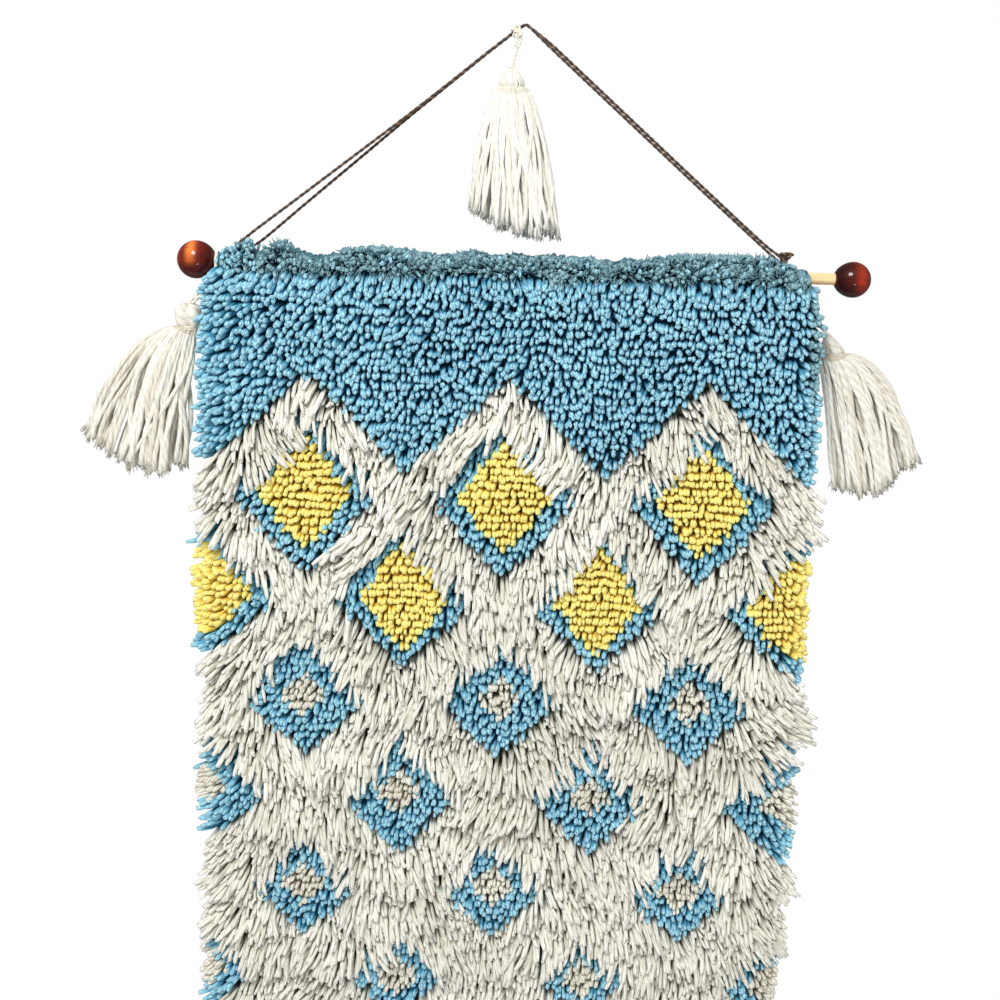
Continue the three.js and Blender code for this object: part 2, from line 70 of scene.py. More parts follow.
LEAN_RIGHT = [(0, 0.22), (8, 0.5), (29, 0.36), (47, 0.52), (93, 0.66), (170, 0.62), (250, 0.82),
              (320, 1.0), (390, 0.7), (460, 1.0), (540, 0.8), (620, 0.66), (694, 0.55)]


def table(rows, x):
    xs, ys = np.array(rows, float).T
    x = np.clip(np.asarray(x, float), xs[0], xs[-1])
    i = np.clip(np.searchsorted(xs, x) - 1, 0, len(xs) - 2)
    t = (x - xs[i]) / (xs[i + 1] - xs[i])
    t = t * t * (3 - 2 * t)
    return ys[i] + (ys[i + 1] - ys[i]) * t


def smooth(t):
    t = np.clip(t, 0, 1)
    return t * t * (3 - 2 * t)


def lerp(a, b, t):
    return a + (b - a) * t


def hashed(ix, iy, seed):
    h = (ix * 374761393 + iy * 668265263 + seed * 144269504) & 0xFFFFFFFF
    h = ((h ^ (h >> 13)) * 1274126177) & 0xFFFFFFFF
    return ((h ^ (h >> 16)) & 0xFFFF) / 65535.0


def noise(x, y, size, seed):
    """Smooth unevenness from -1 to 1, with patches of about that size."""
    x, y = np.asarray(x, float) / size, np.asarray(y, float) / size
    ix, iy = np.floor(x).astype(np.int64), np.floor(y).astype(np.int64)
    fx, fy = x - ix, y - iy
    fx, fy = fx * fx * (3 - 2 * fx), fy * fy * (3 - 2 * fy)
    a = lerp(hashed(ix, iy, seed), hashed(ix + 1, iy, seed), fx)
    b = lerp(hashed(ix, iy + 1, seed), hashed(ix + 1, iy + 1, seed), fx)
    return 2 * lerp(a, b, fy) - 1


# ------------------------------------------------------------------ camera
def place_camera():
    data = bpy.data.cameras.new("camera")
    data.sensor_width = 36.0
    data.lens = 36.0 * 1466.2 / 1000.0
    data.clip_start, data.clip_end = 0.02, 60.0
    cam = bpy.data.objects.new("camera", data)
    scene.collection.objects.link(cam)
    pitch, roll = math.radians(12.6466), math.radians(1.7859)
    fw = Vector((0, math.cos(pitch), -math.sin(pitch)))
    up = Vector((0, math.sin(pitch), math.cos(pitch)))
    rt = Vector((1, 0, 0))
    r2 = math.cos(roll) * rt + math.sin(roll) * up
    u2 = -math.sin(roll) * rt + math.cos(roll) * up
    m = Matrix((r2, u2, -fw)).transposed().to_4x4()
    m.translation = Vector((-8.742e-3, -1213.23e-3, -111.73e-3))
    cam.matrix_world = m
    scene.camera = cam


place_camera()


# ------------------------------------------------------------------ meshes
TILES = 8


def mesh_object(name, verts, faces, uvs=None, material=None, smooth_faces=True):
    """verts in mm, faces a list of index arrays (n, 3) or (n, 4), uvs the matching list of (n, 3|4, 2) arrays."""
    faces = [np.asarray(f, np.int32) for f in faces]
    keep = [k for k, f in enumerate(faces) if len(f)]
    me = bpy.data.meshes.new(name)
    v = np.asarray(verts, float) * 0.001
    me.vertices.add(len(v))
    me.vertices.foreach_set("co", v.astype(np.float32).ravel())
    loops = np.concatenate([faces[k].ravel() for k in keep])
    total = np.concatenate([np.full(len(faces[k]), faces[k].shape[1], np.int32) for k in keep])
    start = np.concatenate([[0], np.cumsum(total)[:-1]]).astype(np.int32)
    me.loops.add(len(loops))
    me.loops.foreach_set("vertex_index", loops)
    me.polygons.add(len(total))
    me.polygons.foreach_set("loop_start", start)
    me.update(calc_edges=True)
    if uvs is not None:
        layer = me.uv_layers.new(name="OFBake")
        uv = np.concatenate([np.asarray(uvs[k], np.float32).reshape(-1) for k in keep])
        layer.data.foreach_set("uv", uv)
    if smooth_faces:
        me.polygons.foreach_set("use_smooth", np.ones(len(total), bool))
    me.validate()
    me.update()
    ob = bpy.data.objects.new(name, me)
    scene.collection.objects.link(ob)
    if material is not None:
        me.materials.append(material)
    return ob


class Strands:
    """Gathers many yarn ends and joins them into one mesh. Each lies in one tile of the yarn's map."""

    def __init__(self):
        self.verts, self.quads, self.tris, self.quv, self.tuv, self.count = [], [], [], [], [], 0

    def add(self, P, R, sides, tile, along=None, ref=(1.0, 0.0, 0.0), oval=None, tip=0.5, spin=None, ragged=0.0, lobed=0.0):
        P, R = np.asarray(P, float), np.asarray(R, float)
        n, k = R.shape
        if n == 0:
            return
        if along is None:
            step = np.linalg.norm(np.diff(P, axis=1), axis=2)
            along = np.concatenate([np.zeros((n, 1)), np.cumsum(step, axis=1)], axis=1)
            along = 0.96 * along / along[:, -1:]
        else:
            along = np.broadcast_to(np.asarray(along, float), (n, k))
        T = np.empty_like(P)
        T[:, 1:-1] = P[:, 2:] - P[:, :-2]
        T[:, 0], T[:, -1] = P[:, 1] - P[:, 0], P[:, -1] - P[:, -2]
        T /= np.linalg.norm(T, axis=2, keepdims=True) + 1e-12
        ref = np.broadcast_to(np.asarray(ref, float).reshape(-1, 1, 3), (n, k, 3))
        n1 = ref - (ref * T).sum(2, keepdims=True) * T
        n1 /= np.linalg.norm(n1, axis=2, keepdims=True) + 1e-12
        n2 = np.cross(T, n1)
        a = 2 * np.pi * np.arange(sides) / sides
        a = a[None, None, :] + (np.zeros(n) if spin is None else spin)[:, None, None]
        o = (np.ones(n) if oval is None else oval)[:, None, None]
        uneven = np.ones((n, k, sides, 1))
        if lobed:
            uneven = uneven + lobed * np.where(np.arange(sides) % 2, -1.0, 1.0)[None, None, :, None]
        if ragged:
            uneven[:, -2] += 0.5 * ragged * rng.normal(0, 1, (n, sides, 1)).clip(-2, 2)
            uneven[:, -1] += ragged * rng.normal(0, 1, (n, sides, 1)).clip(-2, 2)
        ring = (P[:, :, None, :] + R[:, :, None, None] * uneven *
                ((np.cos(a) * o)[..., None] * n1[:, :, None, :] + (np.sin(a) / o)[..., None] * n2[:, :, None, :]))
        apex = P[:, -1] + T[:, -1] * (R[:, -1] * tip)[:, None]
        if ragged:
            ring[:, -1] += T[:, -1][:, None, :] * (R[:, -1, None, None] * ragged * rng.normal(0, 1, (n, sides, 1)).clip(-1.5, 1.5))
            apex += (n1[:, -1] * rng.normal(0, ragged, (n, 1)) + n2[:, -1] * rng.normal(0, ragged, (n, 1))) * R[:, -1, None]
        v = np.concatenate([ring.reshape(n, k * sides, 3), apex[:, None]], axis=1)
        base = self.count + np.arange(n)[:, None] * (k * sides + 1)
        s, s1 = np.arange(sides), (np.arange(sides) + 1) % sides
        rows = np.arange(k - 1)[:, None] * sides
        q = np.stack([rows + s, rows + s1, rows + sides + s1, rows + sides + s], axis=-1).reshape(-1, 4)
        t = np.stack([(k - 1) * sides + s, (k - 1) * sides + s1, np.full(sides, k * sides)], axis=-1)
        self.quads.append((base[:, :, None] + q[None]).reshape(-1, 4))
        self.tris.append((base[:, :, None] + t[None]).reshape(-1, 3))
        self.verts.append(v.reshape(-1, 3))
        self.count += n * (k * sides + 1)
        ti, tj = tile
        u0, u1 = s / sides, (s + 1) / sides
        va, vb = along[:, :-1], along[:, 1:]
        qu = np.broadcast_to(np.stack([u0, u1, u1, u0], -1)[None, None], (n, k - 1, sides, 4))
        qv = np.broadcast_to(np.stack([va, va, vb, vb], -1)[:, :, None, :], (n, k - 1, sides, 4))
        self.quv.append(self.tiled(qu, qv, ti[:, None, None, None], tj[:, None, None, None]).reshape(-1, 4, 2))
        tu = np.broadcast_to(np.stack([u0, u1, (u0 + u1) / 2], -1)[None], (n, sides, 3))
        tv = np.stack([along[:, -1], along[:, -1], np.ones(n)], -1)[:, None, :]
        tv = np.broadcast_to(tv, (n, sides, 3))
        self.tuv.append(self.tiled(tu, tv, ti[:, None, None], tj[:, None, None]).reshape(-1, 3, 2))

    @staticmethod
    def tiled(u, v, ti, tj):
        return np.stack([(ti + 0.04 + 0.92 * u) / TILES, (tj + 0.03 + 0.94 * v) / TILES], axis=-1)

    def triangles(self):
        return sum(2 * len(q) for q in self.quads) + sum(len(t) for t in self.tris)

    def build(self, name, material):
        return mesh_object(name, np.concatenate(self.verts),
                           [np.concatenate(self.quads), np.concatenate(self.tris)],
                           [np.concatenate(self.quv), np.concatenate(self.tuv)], material)


def catmull(points, steps):
    """A smooth line through the points, centripetal as in the CAD, with that many steps a span."""
    p = np.asarray(points, float)
    p = np.vstack([2 * p[0] - p[1], p, 2 * p[-1] - p[-2]])
    out = []
    for i in range(len(p) - 3):
        a, b, c, d = p[i:i + 4]
        t0 = 0.0
        t1 = t0 + max(np.linalg.norm(b - a), 1e-6) ** 0.5
        t2 = t1 + max(np.linalg.norm(c - b), 1e-6) ** 0.5
        t3 = t2 + max(np.linalg.norm(d - c), 1e-6) ** 0.5
        t = np.linspace(t1, t2, steps, endpoint=False)[:, None]
        a1 = (t1 - t) / (t1 - t0) * a + (t - t0) / (t1 - t0) * b
        a2 = (t2 - t) / (t2 - t1) * b + (t - t1) / (t2 - t1) * c
        a3 = (t3 - t) / (t3 - t2) * c + (t - t2) / (t3 - t2) * d
        b1 = (t2 - t) / (t2 - t0) * a1 + (t - t0) / (t2 - t0) * a2
        b2 = (t3 - t) / (t3 - t1) * a2 + (t - t1) / (t3 - t1) * a3
        out.append((t2 - t) / (t2 - t1) * b1 + (t - t1) / (t2 - t1) * b2)
    out.append(p[-2][None])
    return np.concatenate(out)


def even(path, step):
    """The same line with points an even distance apart."""
    d = np.concatenate([[0], np.cumsum(np.linalg.norm(np.diff(path, axis=0), axis=1))])
    n = max(2, int(round(d[-1] / step)) + 1)
    at = np.linspace(0, d[-1], n)
    return np.stack([np.interp(at, d, path[:, k]) for k in range(3)], 1), d[-1]


def frames(path):
    """Tangent and two normals at each point, turning as little as they can."""
    T = np.gradient(path, axis=0)
    T /= np.linalg.norm(T, axis=1, keepdims=True)
    n1 = np.empty_like(T)
    start = np.array([0.0, 1.0, 0.0]) if abs(T[0][1]) < 0.8 else np.array([1.0, 0.0, 0.0])
    n = start - start @ T[0] * T[0]
    n1[0] = n / np.linalg.norm(n)
    for i in range(1, len(T)):
        n = n1[i - 1] - n1[i - 1] @ T[i] * T[i]
        n1[i] = n / np.linalg.norm(n)
    return T, n1, np.cross(T, n1)


def twisted(path_points, radius, pitch, plies, depth, sides, per_tile, step=None, caps=True, taper=None):
    """A twisted yarn or cord along a line: vertices, faces and map. Each turn of the twist lies in one tile."""
    step = step or pitch / per_tile
    path, length = even(np.asarray(path_points, float), step)
    n = len(path)
    T, n1, n2 = frames(path)
    s = np.linspace(0, length, n)
    a = 2 * np.pi * np.arange(sides) / sides
    r = radius * (1 - depth + depth * np.cos(plies * (a[None, :] - 2 * np.pi * s[:, None] / pitch)))
    if taper is not None:
        r = r * taper(s / length)[:, None]
    v = path[:, None, :] + r[..., None] * (np.cos(a)[None, :, None] * n1[:, None] + np.sin(a)[None, :, None] * n2[:, None])
    v = v.reshape(-1, 3)
    k, k1 = np.arange(sides), (np.arange(sides) + 1) % sides
    rows = np.arange(n - 1)[:, None] * sides
    q = np.stack([rows + k, rows + k1, rows + sides + k1, rows + sides + k], -1).reshape(-1, 4)
    seg = np.arange(n - 1)
    va, vb = (seg % per_tile) / per_tile, (seg % per_tile + 1) / per_tile
    which = seg // per_tile
    ti, tj = (which * 5 + which // 7) % TILES, (which * 3) % TILES
    u0, u1 = k / sides, (k + 1) / sides
    qu = np.broadcast_to(np.stack([u0, u1, u1, u0], -1)[None], (n - 1, sides, 4))
    qv = np.broadcast_to(np.stack([va, va, vb, vb], -1)[:, None], (n - 1, sides, 4))
    quv = Strands.tiled(qu, qv, ti[:, None, None], tj[:, None, None]).reshape(-1, 4, 2)
    tris, tuv = np.zeros((0, 3), int), np.zeros((0, 3, 2))
    if caps:
        end = [path[0] - T[0] * radius * 0.35, path[-1] + T[-1] * radius * 0.35]
        v = np.vstack([v, end])
        c0, c1 = len(v) - 2, len(v) - 1
        last = (n - 1) * sides
        tris = np.concatenate([np.stack([k1, k, np.full(sides, c0)], -1),
                               np.stack([last + k, last + k1, np.full(sides, c1)], -1)])
        tu = np.stack([u0, u1, (u0 + u1) / 2], -1)
        tv = np.broadcast_to(np.array([0.0, 0.0, 0.08]), (sides, 3))
        one = Strands.tiled(tu, tv, np.zeros((sides, 1)), np.zeros((sides, 1)))
        tuv = np.concatenate([one, one])
    return v, q, tris, quv, tuv, length, path


class Parts:
    """Joins several pieces of mesh into one."""

    def __init__(self):
        self.v, self.f, self.uv, self.n = [], {3: [], 4: []}, {3: [], 4: []}, 0

    def add(self, v, q=None, t=None, quv=None, tuv=None):
        for f, uv, k in ((q, quv, 4), (t, tuv, 3)):
            if f is not None and len(f):
                self.f[k].append(np.asarray(f) + self.n)
                self.uv[k].append(np.asarray(uv) if uv is not None else np.zeros((len(f), k, 2)))
        self.v.append(np.asarray(v, float))
        self.n += len(v)

    def build(self, name, material, mapped=True, smooth_faces=True):
        f = [np.concatenate(self.f[k]) if self.f[k] else np.zeros((0, k), int) for k in (4, 3)]
        uv = [np.concatenate(self.uv[k]) if self.uv[k] else np.zeros((0, k, 2)) for k in (4, 3)]
        return mesh_object(name, np.concatenate(self.v), f, uv if mapped else None, material, smooth_faces)


# --------------------------------------------------------------- materials
def srgb(r, g, b):
    f = lambda c: (c / 255 / 12.92) if c / 255 <= 0.04045 else ((c / 255 + 0.055) / 1.055) ** 2.4
    return (f(r), f(g), f(b), 1.0)


class Nodes:
    def __init__(self, name):
        self.mat = bpy.data.materials.new(name)
        self.mat.use_nodes = True
        self.nt = self.mat.node_tree
        self.nt.nodes.clear()
        self.out = self.nt.nodes.new("ShaderNodeOutputMaterial")
        self.bsdf = self.nt.nodes.new("ShaderNodeBsdfPrincipled")
        self.nt.links.new(self.bsdf.outputs[0], self.out.inputs[0])

    def new(self, kind, **props):
        n = self.nt.nodes.new(kind)
        for k, v in props.items():
            setattr(n, k, v)
        return n

    def plug(self, socket, value):
        if isinstance(value, bpy.types.NodeSocket):
            self.nt.links.new(value, socket)
        else:
            socket.default_value = value

    def math(self, op, a, b=0.0, c=0.0, clamp=False):
        n = self.new("ShaderNodeMath", operation=op, use_clamp=clamp)
        self.plug(n.inputs[0], a)
        self.plug(n.inputs[1], b)
        self.plug(n.inputs[2], c)
        return n.outputs[0]

    def vec(self, x, y, z=0.0):
        n = self.new("ShaderNodeCombineXYZ")
        for i, v in enumerate((x, y, z)):
            self.plug(n.inputs[i], v)
        return n.outputs[0]

    def mix(self, f, a, b, blend="MIX"):
        n = self.new("ShaderNodeMix", data_type="RGBA", blend_type=blend)
        self.plug(n.inputs[0], f)
        self.plug(n.inputs[6], a)
        self.plug(n.inputs[7], b)
        return n.outputs[2]

    def noise(self, vector, scale, detail=2.0, rough=0.5):
        n = self.new("ShaderNodeTexNoise")
        self.plug(n.inputs["Vector"], vector)
        n.inputs["Scale"].default_value = scale
        n.inputs["Detail"].default_value = detail
        n.inputs["Roughness"].default_value = rough
        return n.outputs["Fac"]

    def ramp(self, f, stops):
        n = self.new("ShaderNodeValToRGB")
        self.plug(n.inputs[0], f)
        e = n.color_ramp.elements
        while len(e) > 1:
            e.remove(e[-1])
        e[0].position, e[0].color = stops[0]
        for p, c in stops[1:]:
            x = e.new(p)
            x.color = c
        return n.outputs[0]

    def span(self, f, a, b, lo=0.0, hi=1.0, kind="SMOOTHSTEP"):
        n = self.new("ShaderNodeMapRange", interpolation_type=kind)
        self.plug(n.inputs[0], f)
        for i, v in zip((1, 2, 3, 4), (a, b, lo, hi)):
            n.inputs[i].default_value = v
        return n.outputs[0]

    def bump(self, height, strength, distance):
        n = self.new("ShaderNodeBump")
        n.inputs["Strength"].default_value = strength
        n.inputs["Distance"].default_value = distance
        self.plug(n.inputs["Height"], height)
        self.plug(self.bsdf.inputs["Normal"], n.outputs[0])

    def shader(self, rough=0.9, sheen=0.0, sheen_rough=0.5, spec=0.25, coat=0.0, coat_rough=0.1, sheen_tint=None):
        b = self.bsdf.inputs
        if not isinstance(rough, (int, float)):
            self.plug(b["Roughness"], rough)
        else:
            b["Roughness"].default_value = rough
        b["Sheen Weight"].default_value = sheen
        b["Sheen Roughness"].default_value = sheen_rough
        if sheen_tint:
            b["Sheen Tint"].default_value = sheen_tint
        b["Specular IOR Level"].default_value = spec
        b["Coat Weight"].default_value = coat
        b["Coat Roughness"].default_value = coat_rough


def yarn(name, dark, light, root, root_shade_to=0.7, ply=3, turns=2.5, bump=0.5, sheen=0.25, vary=0.16, groove_shade=0.2, tip=None, ends=0.35, speck=0.0):
    """Yarn, from its tile and its place round and along the end, with painted shade at its foot and in the grooves
    between its plies.
    """
    m = Nodes(name)
    uv = m.new("ShaderNodeUVMap", uv_map="OFBake")
    sep = m.new("ShaderNodeSeparateXYZ")
    m.plug(sep.inputs[0], uv.outputs[0])
    U, V = m.math("MULTIPLY", sep.outputs[0], TILES), m.math("MULTIPLY", sep.outputs[1], TILES)
    iu, iv = m.math("FLOOR", U), m.math("FLOOR", V)
    fu, fv = m.math("SUBTRACT", U, iu), m.math("SUBTRACT", V, iv)
    around = m.math("DIVIDE", m.math("SUBTRACT", fu, 0.04), 0.92)
    along = m.math("DIVIDE", m.math("SUBTRACT", fv, 0.03), 0.94, clamp=True)
    shade = m.math("DIVIDE", m.math("ADD", iu, 0.5), TILES)
    col = m.mix(shade, dark, light)
    off = m.math("ADD", m.math("MULTIPLY", iu, 3.7), m.math("MULTIPLY", iv, 9.1))
    # a closed circle in the noise, so that the strand has no seam
    turn = m.math("MULTIPLY", around, 2 * math.pi)
    twist = m.math("ADD", turn, m.math("MULTIPLY", along, 2 * math.pi * turns / ply))
    cx, cy = m.math("COSINE", twist), m.math("SINE", twist)
    fibre = m.noise(m.vec(m.math("ADD", m.math("MULTIPLY", cx, 2.6), off), m.math("MULTIPLY", cy, 2.6),
                          m.math("MULTIPLY", along, 3.0)), 1.6, 3.0, 0.6)
    wave = m.math("SINE", m.math("MULTIPLY", twist, float(ply)))
    between = m.span(wave, -1.0, 0.1, 0.0, 1.0)
    body = m.math("ADD", m.math("MULTIPLY", m.span(fibre, 0.25, 0.75, -1.0, 1.0, "LINEAR"), vary), 1.0)
    # painted shade: the body darkens in the grooves between the plies, and more so towards the cut end
    end_groove_shade = m.span(along, 0.82, 0.97, 0.0, ends)
    depth = m.math("ADD", end_groove_shade, groove_shade)
    body = m.math("MULTIPLY", body, m.math("SUBTRACT", 1.0, m.math("MULTIPLY", m.math("SUBTRACT", 1.0, between), depth)))
    if speck:
        spots = m.noise(m.vec(m.math("ADD", m.math("MULTIPLY", cx, 1.5), off), m.math("MULTIPLY", cy, 1.5),
                              m.math("MULTIPLY", along, 9.0)), 1.7, 2.0, 0.5)
        body = m.math("MULTIPLY", body, m.span(spots, 0.32, 0.68, 1.0 - speck, 1.0 + 0.55 * speck))
    # the cut end pales towards the tip colour: partly the frayed fibres' own paler colour, partly a painted highlight
    if tip is not None:
        col = m.mix(m.math("MULTIPLY", m.span(along, 0.7, 0.97, 0.0, 1.0), m.span(fibre, 0.3, 0.65, 0.25, 1.0)), col, tip)
    lit = m.new("ShaderNodeMix", data_type="RGBA", blend_type="MULTIPLY")
    lit.inputs[0].default_value = 1.0
    m.plug(lit.inputs[6], col)
    m.plug(lit.inputs[7], m.vec(body, body, body))
    # painted shade: each end darkens into the root colour towards its foot, where the pile shades it
    col = m.mix(m.span(along, 0.05, root_shade_to), root, lit.outputs[2])
    m.plug(m.bsdf.inputs["Base Color"], col)
    height = m.math("ADD", m.math("MULTIPLY", wave, 0.5), m.math("MULTIPLY", fibre, 0.9))
    m.bump(height, bump, 0.0005)
    m.shader(0.92, sheen, 0.45, 0.12)
    return m.mat


BLUE = yarn("yarn_blue", srgb(66, 146, 180), srgb(154, 214, 236), srgb(34, 140, 172), 0.95, vary=0.26, groove_shade=0.14, bump=0.5,
            tip=srgb(184, 232, 246), sheen=0.06, ends=0.3, speck=0.26)
# a darker, greyer copy of the same blue yarn: painted shade on the ridge over the fold and at the right selvedge
BLUE_SHADED = yarn("yarn_blue_shaded", srgb(68, 116, 130), srgb(138, 182, 194), srgb(30, 92, 110), 0.92, vary=0.24, groove_shade=0.14, bump=0.5,
                 tip=srgb(160, 198, 206), sheen=0.1, ends=0.26, speck=0.2)
CREAM = yarn("yarn_cream", srgb(222, 217, 200), srgb(246, 243, 230), srgb(140, 132, 108), 0.8, vary=0.16, bump=0.6, sheen=0.1, ends=0.2,
             speck=0.1)
SHAG = yarn("yarn_shag", srgb(206, 202, 186), srgb(248, 246, 234), srgb(96, 94, 80), 0.58, vary=0.14, groove_shade=0.14, bump=0.7, sheen=0.1,
            ends=0.12, tip=srgb(255, 253, 244), speck=0.08)
YELLOW = yarn("yarn_yellow", srgb(238, 204, 84), srgb(255, 236, 130), srgb(236, 194, 88), 0.85, vary=0.16, groove_shade=0.1, bump=0.5, sheen=0.06,
              ends=0.12, tip=srgb(255, 244, 156), speck=0.14)
TASSEL = yarn("yarn_tassel", srgb(222, 216, 200), srgb(246, 243, 232), srgb(206, 198, 178), 0.06, ply=2, turns=12, vary=0.12, groove_shade=0.15,
              bump=0.9, ends=0.0, speck=0.08)
TASSEL_PALE = yarn("yarn_tassel_pale", srgb(230, 227, 214), srgb(247, 245, 236), srgb(220, 215, 200), 0.06, ply=2, turns=12, vary=0.09,
                   groove_shade=0.1, bump=0.8, ends=0.0, speck=0.05)


def cord_material():
    m = Nodes("hanging_cord")
    uv = m.new("ShaderNodeUVMap", uv_map="OFBake")
    sep = m.new("ShaderNodeSeparateXYZ")
    m.plug(sep.inputs[0], uv.outputs[0])
    U, V = m.math("MULTIPLY", sep.outputs[0], TILES), m.math("MULTIPLY", sep.outputs[1], TILES)
    iu, iv = m.math("FLOOR", U), m.math("FLOOR", V)
    around = m.math("DIVIDE", m.math("SUBTRACT", m.math("SUBTRACT", U, iu), 0.04), 0.92)
    along = m.math("DIVIDE", m.math("SUBTRACT", m.math("SUBTRACT", V, iv), 0.03), 0.94)
    turn = m.math("MULTIPLY", m.math("SUBTRACT", around, along), 2 * math.pi)
    ply = m.math("COSINE", m.math("MULTIPLY", turn, 2.0))          # 1 on a ply's crown
    which = m.math("COSINE", m.math("ADD", turn, 0.6))             # 1 on one ply, -1 on the other
    off = m.math("ADD", m.math("MULTIPLY", iu, 3.7), m.math("MULTIPLY", iv, 9.1))
    fibre = m.noise(m.vec(m.math("MULTIPLY", m.math("COSINE", turn), 3.0), m.math("MULTIPLY", m.math("SINE", turn), 3.0),
                          m.math("ADD", m.math("MULTIPLY", along, 1.2), off)), 2.2, 3.0, 0.6)
    gold = m.mix(m.span(fibre, 0.3, 0.7), srgb(104, 82, 66), srgb(134, 108, 86))
    brown = m.mix(m.span(fibre, 0.35, 0.75), srgb(70, 55, 46), srgb(98, 78, 64))
    col = m.mix(m.span(which, 0.0, 0.7), brown, gold)
    # painted shade in the grooves between the two plies
    col = m.mix(m.span(ply, -1.0, 0.1, 0.0, 1.0), srgb(50, 40, 34), col)
    m.plug(m.bsdf.inputs["Base Color"], col)
    m.bump(fibre, 0.4, 0.0003)
    m.shader(0.72, 0.15, 0.4, 0.3)
    return m.mat


CORD = cord_material()


def tie_material():
    m = Nodes("tie_yarn")
    uv = m.new("ShaderNodeUVMap", uv_map="OFBake")
    sep = m.new("ShaderNodeSeparateXYZ")
    m.plug(sep.inputs[0], uv.outputs[0])
    U, V = m.math("MULTIPLY", sep.outputs[0], TILES), m.math("MULTIPLY", sep.outputs[1], TILES)
    iu, iv = m.math("FLOOR", U), m.math("FLOOR", V)
    around = m.math("DIVIDE", m.math("SUBTRACT", m.math("SUBTRACT", U, iu), 0.04), 0.92)
    along = m.math("DIVIDE", m.math("SUBTRACT", m.math("SUBTRACT", V, iv), 0.03), 0.94)
    turn = m.math("MULTIPLY", m.math("SUBTRACT", around, along), 2 * math.pi)
    ply = m.math("COSINE", m.math("MULTIPLY", turn, 2.0))
    off = m.math("ADD", m.math("MULTIPLY", iu, 3.7), m.math("MULTIPLY", iv, 9.1))
    fibre = m.noise(m.vec(m.math("MULTIPLY", m.math("COSINE", turn), 3.0), m.math("MULTIPLY", m.math("SINE", turn), 3.0),
                          m.math("ADD", m.math("MULTIPLY", along, 1.2), off)), 2.2, 3.0, 0.6)
    col = m.mix(m.span(fibre, 0.3, 0.7), srgb(228, 220, 200), srgb(250, 246, 234))
    # painted shade in the grooves between the plies
    col = m.mix(m.span(ply, -1.0, 0.0, 0.0, 1.0), srgb(212, 204, 184), col)
    m.plug(m.bsdf.inputs["Base Color"], col)
    m.bump(fibre, 0.4, 0.0003)
    m.shader(0.9, 0.25, 0.4, 0.2)
    return m.mat


TIE = tie_material()


# ------------------------------------------------------------- hanging cord
WRAP_R = ROD_R + GAP + CORD_R + 0.35


def round_rod(x, deg):
    a = math.radians(deg)
    return [x, -math.cos(a) * WRAP_R, ROD_Z - math.sin(a) * WRAP_R]


def over_hook(y, way):
    r = HOOK_R + CORD_R
    return [[math.sin(math.radians(d * way)) * r, y, -HOOK_R + math.cos(math.radians(d * way)) * r]
            for d in (38, 19, 0, -19, -38)]


CORD_ROUTE = (
    [[217.1, 5.5, -178.76], [216.8, 6.3, -184.0]] + [round_rod(216.6, d) for d in (172, 135, 90, 45, 5)]
    + [[215.6, -5.9, -184.5], [211.2, -4.9, -177.0], [200.0, -4.0, -167.3], [149.2, -3.0, -124.8], [99.2, -2.4, -82.5],
       [49.2, -1.9, -40.1], [19.3, -1.6, -14.6], [10.6, -1.6, -6.9]]
    + over_hook(-STRAND_OFF, 1)
    + [[-25, -1.5, -16.8], [-60, -1.6, -45.1], [-90, -1.9, -69.0], [-130, -2.6, -99.8], [-180, -3.6, -138.3],
       [-219, -4.6, -168.3], [-229.3, -5.6, -177.2], [-232.4, -6.3, -184.0], round_rod(-233.0, 5), round_rod(-231.4, 45),
       round_rod(-229.25, 90), round_rod(-227.1, 135), round_rod(-225.5, 172), [-224.2, 6.0, -184.4],
       [-219.3, 5.2, -179.4], [-210.5, 4.6, -173.2], [-175, 3.6, -143.0], [-130, 2.7, -104.7], [-90, 2.0, -70.6],
       [-60, 1.6, -45.8], [-25, 1.5, -17.0]]
    + over_hook(STRAND_OFF, -1)
    + [[11.4, 1.2, -5.9], [20.7, 0.2, -12.8], [50.8, -0.5, -38.1], [100.8, -1.0, -80.5], [150.8, -1.6, -122.8],
       [201.8, -2.6, -165.3], [213.6, -4.0, -174.0], [218.6, -5.5, -181.6]]
    + [round_rod(220.0, d) for d in (5, 45, 90, 135, 172)] + [[220.1, 6.3, -184.0], [220.1, 5.5, -178.76]]
)


def hanging_cord():
    line = catmull(CORD_ROUTE, 12)
    v, q, t, quv, tuv, length, path = twisted(line, 1.30, 11.0, 2, 0.14, 12, 10)
    p = Parts()
    p.add(v, q, t, quv, tuv)
    ob = p.build("cord", CORD)
    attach(ob, "root")
    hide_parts("hanger_cord")
    # the knot that joins the ends, and its two short cut ends
    k = Parts()
    t_ = np.linspace(0, 2 * np.pi, 90)
    kx, ky, kz = np.sin(t_) + 2 * np.sin(2 * t_), np.cos(t_) - 2 * np.cos(2 * t_), -np.sin(3 * t_)
    c = np.array([218.6, 4.6, -173.3])
    loop = np.stack([c[0] + kx * 1.45, c[1] + kz * 1.9, c[2] + ky * 1.1], 1)
    k.add(*twisted(loop, 1.65, 9.0, 2, 0.14, 10, 8)[:5])
    for tail in ([[219.8, 4.6, -172.0], [221.8, 3.6, -170.6], [223.6, 3.0, -170.8], [224.6, 2.8, -172.2]],
                 [[217.4, 5.0, -172.0], [216.0, 6.4, -171.0], [214.8, 7.6, -172.0], [214.4, 8.2, -174.0]],
                 [[217.1, 5.5, -178.9], [217.3, 5.2, -176.6], [218.0, 4.8, -174.0]],
                 [[220.1, 5.5, -178.9], [219.9, 5.2, -176.6], [219.2, 4.8, -174.0]]):
        k.add(*twisted(catmull(tail, 8), 1.3, 9.0, 2, 0.14, 10, 8)[:5])
    knot = k.build("cord_knot_tied", CORD)
    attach(knot, "root")
    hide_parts("cord_knot")
    return ob, knot, length, path


